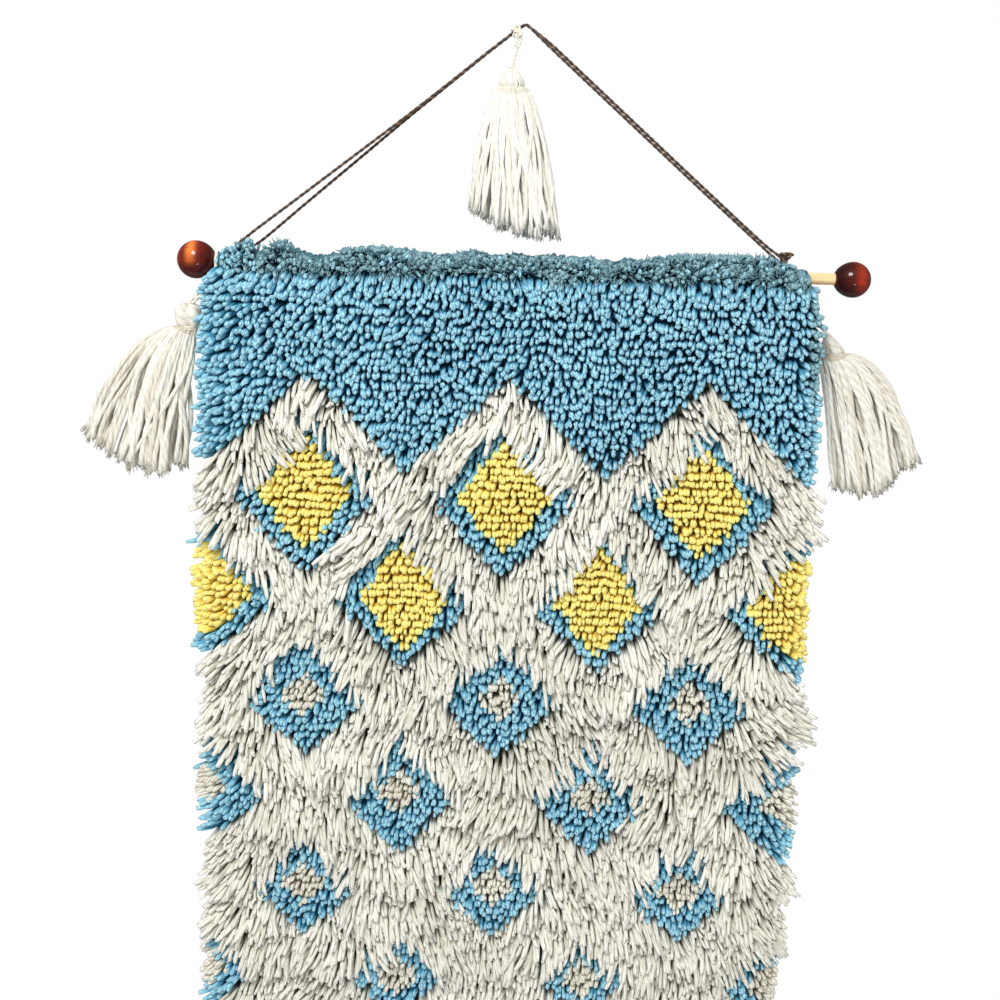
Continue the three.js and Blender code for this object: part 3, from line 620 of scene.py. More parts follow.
cord_obj, knot_obj, cord_length, cord_path = hanging_cord()


# ---------------------------------------------------------------- the canvas
def canvas_y(x, z):
    drop = np.maximum(0, ROD_Z - z)
    ripple = (2.2 * np.sin(x / 62 + 0.6) * smooth(drop / 300) + 1.2 * np.sin(x / 31 - drop / 140) * smooth(drop / 200))
    return lerp(-(SLEEVE_HALF + CANVAS_T / 2), CANVAS_HANG_Y, smooth(drop / 75)) + ripple


ROWS = 102
FOLD_ROWS, FLAP_ROWS = 4, 6
ARCH_A, ARCH_B, ARCH_Z = SLEEVE_HALF + CANVAS_T / 2, 7.85, ROD_Z - 2.0


def canvas_at(x, row):
    """A point of the canvas and its outward normal. row counts knots down from the fold; negative rows go over the fold and down the flap."""
    x, row = np.broadcast_arrays(np.asarray(x, float), np.asarray(row, float))
    z = ROD_Z - 2.0 - np.maximum(row, 0) * KNOT * (FRONT_DROP - 2.0) / (ROWS * KNOT)
    y = canvas_y(x, z)
    ny, nz = -np.ones_like(y), np.zeros_like(y)
    arch = (row < 0) & (row > -FOLD_ROWS)
    a = np.clip(-row / FOLD_ROWS, 0, 1) * np.pi
    ya, za = -np.cos(a) * ARCH_A, ARCH_Z + np.sin(a) * ARCH_B
    y, z = np.where(row < 0, ya, y), np.where(row < 0, za, z)
    ny = np.where(arch, -np.cos(a) * ARCH_B, ny)
    nz = np.where(arch, np.sin(a) * ARCH_A, nz)
    flap = row <= -FOLD_ROWS
    d = np.maximum(-row - FOLD_ROWS, 0) * (FLAP_DROP - 2) / FLAP_ROWS
    end = canvas_y(x, ROD_Z - FLAP_DROP) + 2.6
    yf = lerp(ARCH_A, end, smooth(d / (FLAP_DROP - 4)) ** 0.9)
    y = np.where(flap, yf, y)
    z = np.where(flap, ARCH_Z - d, z)
    ny, nz = np.where(flap, 0.96, ny), np.where(flap, -0.28, nz)
    n = np.stack([np.zeros_like(ny), ny, nz], -1)
    n /= np.linalg.norm(n, axis=-1, keepdims=True)
    # below the dowel the canvas gives a little to each side
    wide = smooth((ROD_Z - z) / 110) * np.where(x < 0, -5.5 * (x / LEFT), 2.5 * (x / RIGHT))
    # and it is gathered a little at the right end of the sleeve
    wide = wide - 7.0 * np.clip((x - 100) / (RIGHT - 100), 0, 1) * (1 - smooth((ROD_Z - z) / 32))
    return np.stack([x + wide, y, z], -1), n


def chart(col, row):
    """0 short blue, 1 long cream shag, 2 short yellow, 3 short cream."""
    col, row = np.broadcast_arrays(np.asarray(col, float), np.asarray(row, float))
    t = lerp(BAND_TOP, BAND_LOW, np.clip((row - 14) / 88, 0, 1))
    u, v = (col - (COLS - 1) / 2) / CELL_W, (row - (TOP_ROW - CELL_H / 2)) / CELL_H
    off = lambda w: np.abs(w - np.round(w)) * CELL_H
    above = off(u)
    free = (row < TOP_ROW - CELL_H / 2 - t) | (row < TOP_ROW - CELL_H / 2 + above - t)
    shag = ~free & (np.minimum(off(v + u), off(v - u)) < t)
    a, b = v + u, v - u
    n = np.floor(a) + np.floor(b)
    mid = np.maximum(np.abs(a - np.floor(a) - 0.5), np.abs(b - np.floor(b) - 0.5))
    inside = ~free & ~shag & (n >= 0)
    kind = np.zeros(col.shape, int)
    kind[inside & (n <= 1) & (mid < 0.26)] = 2
    kind[inside & (n >= 2) & (mid < 0.13)] = 3
    kind[shag] = 1
    return kind


def canvas_material():
    """The map's first quarter is bare canvas, the others are canvas covered by the feet of blue, cream and yellow
    knots, in their yarn colours darkened as painted shade.
    """
    m = Nodes("rug_canvas")
    uv = m.new("ShaderNodeUVMap", uv_map="OFBake")
    sep = m.new("ShaderNodeSeparateXYZ")
    m.plug(sep.inputs[0], uv.outputs[0])
    rows = ROWS + FOLD_ROWS + FLAP_ROWS
    across = m.math("FRACT", m.math("MULTIPLY", sep.outputs[0], 4.0 * COLS))
    down = m.math("FRACT", m.math("MULTIPLY", sep.outputs[1], float(rows)))
    cx = m.math("ABSOLUTE", m.math("SUBTRACT", across, 0.5))
    cy = m.math("ABSOLUTE", m.math("SUBTRACT", down, 0.5))
    warp, weft = m.span(cx, 0.3, 0.42), m.span(cy, 0.28, 0.4)
    thread = m.math("MAXIMUM", warp, weft)
    fine = m.noise(m.vec(m.math("MULTIPLY", sep.outputs[0], 3600.0), m.math("MULTIPLY", sep.outputs[1], 1400.0)), 1.0, 2.0)
    slow = m.noise(uv.outputs[0], 9.0, 3.0)
    col = m.mix(m.span(fine, 0.3, 0.7), srgb(206, 198, 176), srgb(238, 233, 218))
    col = m.mix(m.span(slow, 0.35, 0.7, 0.0, 0.3), col, srgb(206, 190, 156))
    # painted shade: the holes between the threads are dark grey
    col = m.mix(thread, srgb(92, 92, 84), col)
    # the knot feet, in yarn colours darkened as painted shade under the pile
    for at, c in ((0.25, (34, 112, 142)), (0.5, (120, 114, 96)), (0.75, (232, 190, 92))):
        shade = m.mix(m.span(fine, 0.3, 0.7), srgb(*(0.75 * v for v in c)), srgb(*c))
        col = m.mix(m.math("GREATER_THAN", sep.outputs[0], at), col, shade)
    m.plug(m.bsdf.inputs["Base Color"], col)
    m.bump(m.math("ADD", thread, m.math("MULTIPLY", fine, 0.3)), 0.6, 0.0005)
    m.shader(0.85, 0.1, 0.5, 0.25)
    return m.mat


CANVAS = canvas_material()


def in_slit(x, row):
    """The holes of the canvas that the cord comes through: near the front of the fold, and behind it."""
    front = (row > -2.0) & (row < 0.0) & (x > -237.3) & (x < -230.4)
    behind = (row > -4.0) & (row < -2.0) & (x > -230.5) & (x < -216.9)
    right = (row > -4.0) & (row < 0.0) & (x > 209.5) & (x < 223.2)
    return front | behind | right


def canvas_sheet():
    rows = ROWS + FOLD_ROWS + FLAP_ROWS
    gx = np.linspace(LEFT, RIGHT, COLS + 1)
    gr = np.linspace(ROWS, -FOLD_ROWS - FLAP_ROWS, rows + 1)
    X, Rw = np.meshgrid(gx, gr)
    p, n = canvas_at(X, Rw)
    half = 0.55
    front, back = p + n * half, p - n * half
    ny, nx = X.shape
    v = np.concatenate([front.reshape(-1, 3), back.reshape(-1, 3)])
    idx = np.arange(ny * nx).reshape(ny, nx)
    cx, cr = (X[:-1, :-1] + X[1:, 1:]) / 2, (Rw[:-1, :-1] + Rw[1:, 1:]) / 2
    keep = ~in_slit(cx, cr)
    kind = np.where(cr < 0, 0, chart((cx - LEFT) / KNOT, np.maximum(cr, 0)))
    strip = np.select([kind == 0, kind == 2], [1, 3], 2) * 0.25
    a, b, c, d = idx[:-1, :-1], idx[:-1, 1:], idx[1:, 1:], idx[1:, :-1]
    m = ny * nx
    i, j = np.meshgrid(np.arange(nx - 1), np.arange(ny - 1))
    u0, u1 = i / (nx - 1) / 4, (i + 1) / (nx - 1) / 4
    v0, v1 = j / (ny - 1), (j + 1) / (ny - 1)
    inset = 0.02 / (nx - 1) / 4
    uf = np.stack([np.stack([u, w], -1) for u, w in ((u0 + strip + inset, v0), (u1 + strip - inset, v0),
                                                     (u1 + strip - inset, v1), (u0 + strip + inset, v1))], -2)
    ub = np.stack([np.stack([u, w], -1) for u, w in ((u0, v0), (u0, v1), (u1, v1), (u1, v0))], -2)
    quads = [np.stack([a, b, c, d], -1)[keep], np.stack([a, d, c, b], -1)[keep] + m]
    uvs = [uf[keep], ub[keep]]
    # the cut edges
    pad = np.zeros((ny + 1, nx + 1), bool)
    pad[1:-1, 1:-1] = keep
    edge_uv = np.array([[0.001, 0.001], [0.003, 0.001], [0.003, 0.006], [0.001, 0.006]])
    for (dy, dx, e0, e1) in ((-1, 0, a, b), (0, 1, b, c), (1, 0, c, d), (0, -1, d, a)):
        near = pad[1 + dy:ny + dy, 1 + dx:nx + dx]
        edge = keep & ~near
        w = np.stack([e1[edge], e0[edge], e0[edge] + m, e1[edge] + m], -1)
        quads.append(w)
        uvs.append(np.broadcast_to(edge_uv, (len(w), 4, 2)))
    return mesh_object("canvas", v, [np.concatenate(quads)], [np.concatenate(uvs)], CANVAS)


canvas_obj = canvas_sheet()
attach(canvas_obj, "root")
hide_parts("cloth")


# ------------------------------------------------------------------- the pile
rng = np.random.default_rng(7)


def bezier(points, t):
    """Quadratic or cubic lines, points (N, 3|4, 3), at t (K,) -> (N, K, 3)."""
    t = np.asarray(t)[None, :, None]
    p = [points[:, k][:, None, :] for k in range(points.shape[1])]
    if len(p) == 3:
        return (1 - t) ** 2 * p[0] + 2 * t * (1 - t) * p[1] + t ** 2 * p[2]
    return (1 - t) ** 3 * p[0] + 3 * t * (1 - t) ** 2 * p[1] + 3 * t ** 2 * (1 - t) * p[2] + t ** 3 * p[3]


def tile_for(x, z, spread=1.0, seed=0):
    n = len(x)
    s = 0.5 + 0.34 * noise(x, z, 34, 11 + seed) + 0.2 * noise(x, z, 11, 12 + seed) + 0.26 * spread * rng.uniform(-1, 1, n)
    return np.clip((s * TILES).astype(int), 0, TILES - 1), rng.integers(0, TILES, n)


cord_near = cord_path[(cord_path[:, 2] < -150)]


def part_for_cord(P, gap=2.9):
    """Bends the ends round the cord, and says which of them have room at their foot."""
    P = P.copy()
    near = ((P[:, :, 0] < -195) | (P[:, :, 0] > 190)).any(1) & (P[:, :, 2] > -206).any(1)
    ok = np.ones(len(P), bool)
    for i in np.flatnonzero(near):
        foot = np.linalg.norm(P[i, 0] - cord_near, axis=1).min()
        if foot < 2.3:
            ok[i] = False
            continue
        for _ in range(3):
            for j in range(1, P.shape[1]):
                d = P[i, j] - cord_near
                r = np.linalg.norm(d, axis=1)
                k = r.argmin()
                if r[k] < gap:
                    away = d[k] / (r[k] + 1e-6) + np.array([0.0, -0.35 if P[i, 0, 1] < 1.0 else 0.35, 0.0])
                    away /= np.linalg.norm(away)
                    P[i, j:] += away * (gap - r[k])
        ok[i] = all(np.linalg.norm(p - cord_near, axis=1).min() > gap - 0.7 for p in P[i, 1:])
    return P, ok


SHORT_T = np.array([0.0, 0.55, 0.86, 0.975])
SHORT_R = np.array([0.74, 0.98, 1.05, 0.86])


def edge_push(x, drop):
    """How far the pile near the selvedges leans out, with its sign."""
    left = SIDE_LEAN * table(LEAN_LEFT, drop) * np.clip(1 - (x - LEFT) / 26, 0, 1) ** 1.4
    right = SIDE_LEAN * table(LEAN_RIGHT, drop) * np.clip(1 - (RIGHT - x) / 26, 0, 1) ** 1.4
    return right - left


def short_pile(col, row, yarn_r, length, droop, loose):
    """Two ends a knot, standing out of the front of the canvas."""
    n = len(col)
    # long ends that hang over from above press them flat
    over = np.zeros(n)
    for up, share in ((1, 1.0), (2, 0.9), (3, 0.6), (4, 0.3)):
        over = np.maximum(over, share * ((chart(col + 0.5, row + 0.5 - up) == 1) & (row >= up)))
    col, row, over = np.repeat(col, 2), np.repeat(row, 2), np.repeat(over, 2)
    side = np.tile([-1.0, 1.0], n)
    n *= 2
    x = LEFT + (col + 0.5) * KNOT + side * 1.6
    C, N = canvas_at(x, row + 0.5)
    drop = ROD_Z - C[:, 2]
    edge = np.maximum(smooth(1 - (x - LEFT) / 22), smooth(1 - (RIGHT - x) / 22))
    C[:, 0] += loose * rng.normal(0, 0.35, n)
    C[:, 2] += loose * rng.normal(0, 0.5, n) * (1 + 0.8 * edge)
    top = smooth(1 - drop / 75)                # the first rows lie over, ever more towards the fold
    sx = 2.6 * noise(x, drop, 46, 1) + 1.7 * noise(x, drop, 16, 2) - 1.6 - 6.0 * smooth(1 - (x - LEFT) / 120) * (0.4 + 0.6 * top)
    lx = sx * (1 - 0.7 * edge) + loose * rng.normal(0, 2.0, n) + edge_push(x, drop) * (1 + 0.16 * rng.normal(0, 1, n))
    fall = droop * (1.0 + 0.3 * noise(x, drop, 28, 3) + 0.25 * noise(x, drop, 10, 4)) + loose * rng.normal(0, 1.9, n) + 5.5 * smooth(1 - drop / 26)
    fall += edge * (0.5 + 1.3 * rng.normal(0, 1, n)) - edge * 0.5 * droop
    fall += 7.0 * smooth((row - (ROWS - 4)) / 4) + 4.0 * over   # the last rows hang
    L = length * (1 + rng.normal(0, 0.045, n) * loose) * (1 - 0.26 * over)
    L += loose * 1.2 * noise(x, drop, 13, 6)
    out = np.sqrt(np.maximum(L ** 2 - np.minimum(fall, 0.86 * L) ** 2 * 0.9 - np.minimum(np.abs(lx), 0.75 * L) ** 2 * 0.8, (0.3 * L) ** 2))
    G = np.array([0, 0, -1.0])
    tip = C + N * out[:, None] + G * fall[:, None]
    tip[:, 0] += lx
    mid = C + N * (out * 0.70)[:, None] + G * (fall * 0.10)[:, None]
    mid[:, 0] += lx * 0.25
    P = bezier(np.stack([C, mid, tip], 1), SHORT_T)
    R = yarn_r * SHORT_R[None] * (1 + 0.11 * rng.normal(0, 1, (n, 1)).clip(-2, 2))
    R = R * (1 + 0.05 * rng.normal(0, 1, R.shape))
    return P, R, x, drop


def fold_pile(col, row):
    """The ends on the fold over the dowel and on the flap behind. row may fall between two knots."""
    n = len(col)
    col, row = np.repeat(col, 2), np.repeat(row, 2).astype(float)
    side = np.tile([-1.0, 1.0], n)
    n *= 2
    x = LEFT + (col + 0.5) * KNOT + side * 1.7 + rng.normal(0, 0.7, n)
    C, N = canvas_at(x, row + 0.5)
    on_fold = row > -FOLD_ROWS - 0.3
    # from hanging forward, over the top, to lying back
    up_deg = np.interp(-row - 0.5, [0.0, 0.5, 1.0, 1.5, 2.5, 3.5], [14.0, 30.0, 48.0, 68.0, 104.0, 140.0])
    up_deg = up_deg + 13.0 * rng.normal(0, 1, n).clip(-2, 2) + 12.0 * noise(x, row * 9.0, 15, 33)
    a = np.radians(up_deg)
    L = np.interp(-row - 0.5, [0.0, 0.5, 1.5, 2.5, 3.5], [19.0, 18.5, 17.0, 16.0, 17.0]) * (1 + 0.08 * rng.normal(0, 1, n))
    ridge = table(RIDGE, x) + 1.2 * noise(x, row * 8.0, 9, 31) + rng.normal(0, 0.7, n)
    room = (ridge - 2.8 - (C[:, 2] - ROD_Z)) / L
    up = np.minimum(np.sin(a), np.clip(room, -0.35, 0.98))
    way = np.where(np.cos(a) > 0, -1.0, 1.0)
    side_lean = 0.2 * rng.normal(0, 1, n) + 0.34 * noise(x, row * 6.0, 20, 5) + 0.3 * noise(x, row * 6.0, 8, 35)
    side_lean += 0.5 * smooth(1 - (x - LEFT) / 16) - 0.4 * smooth(1 - (RIGHT - x) / 16)
    flat = np.sqrt(1 - up ** 2)
    dirs = np.stack([side_lean, way * flat, up], -1)
    flap = np.stack([0.14 * rng.normal(0, 1, n), 0.62 + 0.1 * rng.normal(0, 1, n), -0.66 + 0.1 * rng.normal(0, 1, n)], -1)
    dirs = np.where(on_fold[:, None], dirs, flap)
    dirs /= np.linalg.norm(dirs, axis=1, keepdims=True)
    L = np.where(on_fold, L, 16.5)
    tip = C + dirs * (L * 0.97)[:, None]
    front = smooth((-row - 0.5) / -1.2 + 1.0) * on_fold        # the front ends bend down over the rows below
    tip[:, 2] -= front * (3.0 + 3.0 * rng.normal(0, 1, n) + 2.5 * noise(x, row, 12, 36))
    tip[:, 0] += edge_push(x, 30.0) * np.where(on_fold, 0.0, 0.5)
    mid = C + N * (L * 0.30)[:, None] + dirs * (L * 0.28)[:, None]
    P = bezier(np.stack([C, mid, tip], 1), SHORT_T)
    R = np.where(on_fold, 1.7, 2.15)[:, None] * SHORT_R[None] * (1 + 0.12 * rng.normal(0, 1, (n, 1)).clip(-2, 2))
    return P, R, x, ROD_Z - C[:, 2]


SHAG_T = np.array([0.0, 0.36, 0.64, 0.86, 0.975])
SHAG_R = np.array([0.76, 0.96, 1.04, 1.06, 0.88])


def shag_tier(col, row):
    """From 0 in the first rows of a tier to 1 in its last, which hang over the next tier or over the short pile."""
    x, drop = LEFT + (col + 0.5) * KNOT, (row + 0.5) * KNOT
    last = np.zeros(len(col))
    for down, share in ((1, 1.0), (2, 0.75), (3, 0.4)):
        last = np.maximum(last, share * (chart(col + 0.5, np.minimum(row + 0.5 + down, ROWS - 0.5)) != 1))
    place = (row + 3.2 * noise(x, drop * 0.6, 46, 23) + 1.2 * noise(x, drop, 14, 29) + 0.16 * np.abs((col + 12) % 24 - 12)) / 7.0
    tier = place - np.floor(place)
    return np.maximum(smooth(tier * 1.1), last)


def shag_pile(col, row, ends, thick):
    """Long ends. Each row lies on the ones below, and some rows stand out as a tier over the next."""
    tier = shag_tier(col, row)
    n = len(col)
    col, row, tier = np.repeat(col, ends), np.repeat(row, ends), np.repeat(tier, ends)
    side = np.tile(np.linspace(-1.0, 1.0, ends), n)
    n *= ends
    x = LEFT + (col + 0.5) * KNOT + side * (1.6 if ends == 2 else 2.1)
    C, N = canvas_at(x, row + 0.5)
    drop = ROD_Z - C[:, 2]
    C[:, 0] += rng.normal(0, 0.5, n)
    C[:, 2] += rng.normal(0, 0.8, n)
    rim = np.maximum(smooth(1 - (x - LEFT) / 50), smooth(1 - (RIGHT - x) / 50))
    sweep = 0.56 * noise(x, drop * 0.8, 60, 21) + 0.36 * noise(x, drop, 26, 22) + 0.24 * noise(x, drop, 10, 27)
    sweep = sweep * (1 - 0.5 * rim) - 0.95 * smooth(1 - (x - LEFT) / 50) + 0.95 * smooth(1 - (RIGHT - x) / 50)
    ang = np.clip(sweep, -1.2, 1.2) + rng.normal(0, 0.13, n)
    D = np.stack([np.sin(ang), np.zeros(n), -np.cos(ang)], -1)
    lift = 16.0 + 6.5 * tier + 1.6 * noise(x, drop, 15, 28) + rng.normal(0, 1.7, n)
    fall = 8.5 + 16.5 * tier + 3.0 * noise(x, drop, 18, 24) + rng.normal(0, 2.0, n)
    fall *= 1 - 0.2 * smooth((row - (ROWS - 3)) / 3)
    fall = np.maximum(fall, 4.0) + 3.0 * rim * (1 - tier)
    c1 = C + N * (lift * 0.45)[:, None] + D * (fall * 0.04)[:, None]
    c2 = C + N * (lift * lerp(0.74, 0.98, tier))[:, None] + D * (fall * lerp(0.42, 0.32, tier))[:, None]
    tip = C + N * (lift * (lerp(1.02, 0.95, tier) + 0.05 * rng.normal(0, 1, n)))[:, None] + D * fall[:, None]
    c2[:, 0] += rng.normal(0, 1.9, n)
    c2[:, 2] += rng.normal(0, 1.0, n)
    tip[:, 0] += rng.normal(0, 1.0, n)
    T, Rs = (SHAG_T, SHAG_R) if ends == 2 else (SHAG_T[[0, 2, 3, 4]], SHAG_R[[0, 2, 3, 4]])
    P = bezier(np.stack([C, c1, c2, tip], 1), T)
    R = thick * Rs[None] * (1 + 0.1 * rng.normal(0, 1, (n, 1)).clip(-2, 2)) * np.ones((n, 1))
    return P, R, x, drop


def lay_pile():
    cc, rr = np.meshgrid(np.arange(COLS), np.arange(ROWS))
    cc, rr = cc.ravel(), rr.ravel().astype(float)
    # the knots of the selvedges are set closer
    ec, er = np.meshgrid([0, COLS - 1], np.arange(ROWS - 1) + 0.5)
    cc, rr = np.concatenate([cc, ec.ravel()]), np.concatenate([rr, er.ravel()])
    kind = chart(cc + 0.5, rr + 0.5)
    made = []

    def put(name, slot, material, P, R, x, drop, sides, T, seed, tip=0.5, ragged=0.16, lobed=0.0, oval=1.0):
        P, ok = part_for_cord(P)
        P, R, x, drop = P[ok], R[ok], x[ok], drop[ok]
        s = Strands()
        ti, tj = tile_for(x, drop, 1.0, seed)
        s.add(P, R, sides, (ti, tj), along=T, oval=oval + 0.1 * rng.normal(0, 1, len(x)).clip(-2, 2),
              tip=tip, spin=rng.uniform(0, 6.28, len(x)), ragged=ragged, lobed=lobed)
        ob = s.build(name, material)
        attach(ob, "root")
        made.append(ob)
        print("PILE", name, len(x), "ends", s.triangles(), "triangles")

    short = dict(tip=0.45, ragged=0.15, oval=0.88)
    blue = kind == 0
    # the top of the right selvedge takes the shaded copy of the blue: painted shade where the pile turns away
    rim = blue & (cc == COLS - 1) & (rr < 22) & (rng.uniform(0, 1, len(cc)) < np.clip(1.2 - rr / 16, 0.15, 0.85))
    for name, pick, sides in (("pile_blue_upper", blue & ~rim & (rr < 30), 5), ("pile_blue_lower", blue & ~rim & (rr >= 30), 5)):
        P, R, x, d = short_pile(cc[pick], rr[pick], 2.14, 20.2, 4.5, 1.0)
        put(name, "pile", BLUE, P, R, x, d, sides, SHORT_T, 0, **short)
    P, R, x, d = short_pile(cc[rim], rr[rim], 2.0, 20.5, 4.8, 1.0)
    put("pile_rim_shaded", "pile", BLUE_SHADED, P, R, x, d, 6, SHORT_T, 80, **short)
    pick = kind == 2
    P, R, x, d = short_pile(cc[pick], rr[pick], 2.36, 20.0, 4.0, 0.6)
    put("pile_yellow", "pile_yellow", YELLOW, P, R, x, d, 5, SHORT_T, 40, **short)
    pick = kind == 3
    P, R, x, d = short_pile(cc[pick], rr[pick], 2.12, 20.0, 4.6, 0.85)
    put("pile_cream", "pile_cream", CREAM, P, R, x, d, 5, SHORT_T, 60, **short)
    fc, fr = np.meshgrid(np.arange(COLS), np.concatenate([-0.5 * np.arange(1, 2 * FOLD_ROWS + 1), -1.0 * np.arange(FOLD_ROWS + 1, FOLD_ROWS + FLAP_ROWS + 1)]))
    fc, fr = fc.ravel(), fr.ravel()
    brow = fr > -1.2
    fc, fr, brow = (np.concatenate([v, v[brow]]) for v in (fc, fr, brow))
    P, R, x, d = fold_pile(fc[brow], fr[brow])
    # the brow ends not picked here take the shaded copy of the blue: painted shade
    fair = rng.uniform(0, 1, len(x)) < 0.2 + 0.6 * smooth((-208 - x) / 16) + 0.25 * noise(x, d, 14, 38)
    put("pile_brow", "pile", BLUE, P[fair], R[fair], x[fair], d[fair], 5, SHORT_T, 0, **short)
    put("pile_brow_shaded", "pile", BLUE_SHADED, P[~fair], R[~fair], x[~fair], d[~fair], 5, SHORT_T, 80, tip=0.5, ragged=0.16)
    P, R, x, d = fold_pile(fc[~brow], fr[~brow])
    # the fold and flap ends, but for some at the left end, take the shaded copy of the blue: painted shade
    fair = rng.uniform(0, 1, len(x)) < 0.7 * smooth((-206 - x) / 14)
    put("pile_fold", "pile", BLUE_SHADED, P[~fair], R[~fair], x[~fair], d[~fair], 5, SHORT_T, 80, tip=0.5, ragged=0.16)
    put("pile_fold_fair", "pile", BLUE, P[fair], R[fair], x[fair], d[fair], 5, SHORT_T, 0, tip=0.5, ragged=0.16)
    # the ends on the fold are frayed by wear: loose plies stand among them
    loose = np.flatnonzero(fr > -3.3)
    loose = np.concatenate([loose, loose, loose, np.flatnonzero(fr > -2.3)])
    loose = loose[(fc[loose] > 5) | (rng.uniform(0, 1, len(loose)) < 0.4)]
    P, R, x, d = fold_pile(fc[loose], fr[loose])
    P[:, 1:] += (rng.normal(0, 1, (len(P), 1, 3)) * np.array([1.5, 1.2, 0.9])) * (np.arange(1, 4) / 3)[None, :, None]
    P[:, -1] += (P[:, -1] - P[:, -2]) * rng.uniform(0.0, 1.0, (len(P), 1))
    P = P[:, [0, 1, 3]]
    # the loose plies are in the shaded copy of the blue: painted shade
    put("pile_fold_plies", "pile", BLUE_SHADED, P, np.broadcast_to([0.72, 0.74, 0.34], (len(P), 3)), x, d, 3, SHORT_T[[0, 1, 3]], 80, tip=0.8)
    shag = kind == 1
    hang = shag_tier(cc, rr) > 0.45
    for name, lo, hi in (("shag_upper", 0, 56), ("shag_middle", 56, 80), ("shag_lower", 80, ROWS)):
        pick = shag & (rr >= lo) & (rr < hi)
        for part, some, ends, thick in (("", pick & hang, 2, 1.8), ("_inner", pick & ~hang, 3, 1.62)):
            P, R, x, d = shag_pile(cc[some], rr[some], ends, thick)
            T = SHAG_T if ends == 2 else SHAG_T[[0, 2, 3, 4]]
            put(name + part, "pile_cream", SHAG, P, R, x, d, 5 if ends == 2 else 4, T, 90, tip=0.4, ragged=0.16)
    return made


pile = lay_pile()


# ------------------------------------------------------- the canvas's back
def back_knots():
    """Behind the canvas each knot shows as two short turns of yarn round the weft."""
    cc, rr = np.meshgrid(np.arange(COLS), np.arange(-FOLD_ROWS - FLAP_ROWS, ROWS))
    cc, rr = cc.ravel(), rr.ravel()
    kind = np.where(rr < 0, 0, chart(cc + 0.5, np.maximum(rr, 0) + 0.5))
    ok = ~in_slit(LEFT + (cc + 0.5) * KNOT, rr + 0.5) & ((rr > 6) | (rr < -FOLD_ROWS - FLAP_ROWS))
    cc, rr, kind = cc[ok], rr[ok], kind[ok]
    made = []
    u = np.array([-2.75, -1.2, 1.2, 2.75])
    h = np.array([0.0, 1.75, 1.6, 0.0])
    w = np.array([-2.7, 0.0, 2.7])
    g = np.array([0.18, 1.0, 0.18])
    for name, slot, mat, pick in (("back_blue", "pile", BLUE, kind == 0), ("back_cream", "pile_cream", CREAM, (kind == 1) | (kind == 3)),
                                  ("back_yellow", "pile_yellow", YELLOW, kind == 2)):
        c, r = cc[pick], rr[pick]
        n = len(c)
        x = LEFT + (c + 0.5) * KNOT
        C, N = canvas_at(x, r + 0.5)
        base = C - N * 0.5
        jit = 1 + 0.12 * rng.normal(0, 1, n)
        v = np.empty((n, 3, 4, 3))
        v[..., 0] = base[:, None, None, 0] + u[None, None, :] + 0.25 * rng.normal(0, 1, n)[:, None, None]
        v[..., 2] = base[:, None, None, 2] + (w[None, :, None] * (1 + 0.05 * rng.normal(0, 1, n))[:, None, None])
        v[..., 1] = base[:, None, None, 1] + (g[None, :, None] * h[None, None, :]) * jit[:, None, None]
        idx = np.arange(12).reshape(3, 4)
        q = np.stack([idx[:-1, :-1], idx[1:, :-1], idx[1:, 1:], idx[:-1, 1:]], -1).reshape(-1, 4)
        uu = np.broadcast_to(np.linspace(0, 1, 4)[None], (3, 4)).ravel()
        vv = np.broadcast_to(np.linspace(0.62, 0.95, 3)[:, None], (3, 4)).ravel()
        ti, tj = tile_for(x, ROD_Z - C[:, 2], 1.0, 0)
        uv = Strands.tiled(uu[q][None], vv[q][None], ti[:, None, None], tj[:, None, None])
        faces = (np.arange(n)[:, None, None] * 12 + q[None]).reshape(-1, 4)
        ob = mesh_object(name, v.reshape(-1, 3), [faces], [uv.reshape(-1, 4, 2)], mat)
        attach(ob, "root")
        made.append(ob)
    return made


backs = back_knots()


# --------------------------------------------------------------- tassels
TASSELS = {
    "tassel_left": dict(top=(-269.0, -7.0, -226.5), head_r=11.6, head_h=18, neck=0.66, foot=-316, half_w=44, half_d=17,
                        head=[(0, 0.34), (0.12, 0.78), (0.36, 1.0), (0.62, 1.0), (0.88, 0.8), (1.0, 0.66)],
                        low_l=-333, low_r=-361, belly=15, flare=0.45, bend=0.52, back=1.0, yarn=2.15, wave=1.7, extra=1.1,
                        lobes=4, phase=0.42, seed=3),
    "tassel_right": dict(top=(264.0, 3.4, -237.0), head_r=10.0, head_h=14.5, neck=0.86, foot=308.4, half_w=36.9, half_d=15,
                         head=[(0, 0.26), (0.18, 0.5), (0.42, 0.74), (0.7, 0.94), (0.9, 0.98), (1.0, 0.86)],
                         low_l=-366, low_r=-336, belly=13, flare=0.27, bend=0.56, back=0.6, yarn=2.0, wave=0.9, extra=1.1,
                         lobes=10, phase=0.0, seed=4, lean=-5.2),
    "tassel_centre": dict(top=(-9.6, -1.5, -32.0), head_r=10.4, head_h=14, neck=0.86, foot=-4.5, half_w=39.5, half_d=15,
                          head=[(0, 0.2), (0.2, 0.48), (0.5, 0.76), (0.82, 1.0), (0.94, 0.96), (1.0, 0.86)],
                          low_l=-141, low_r=-161, belly=7, flare=0.5, bend=1.0, back=0.0, yarn=1.7, wave=1.2, extra=1.25,
                          lobes=9, phase=0.2, seed=5),
}
SKIRT_S = np.concatenate([[0.0, 0.012, 0.03, 0.06, 0.1, 0.15], np.linspace(0.22, 1.0, 10)])


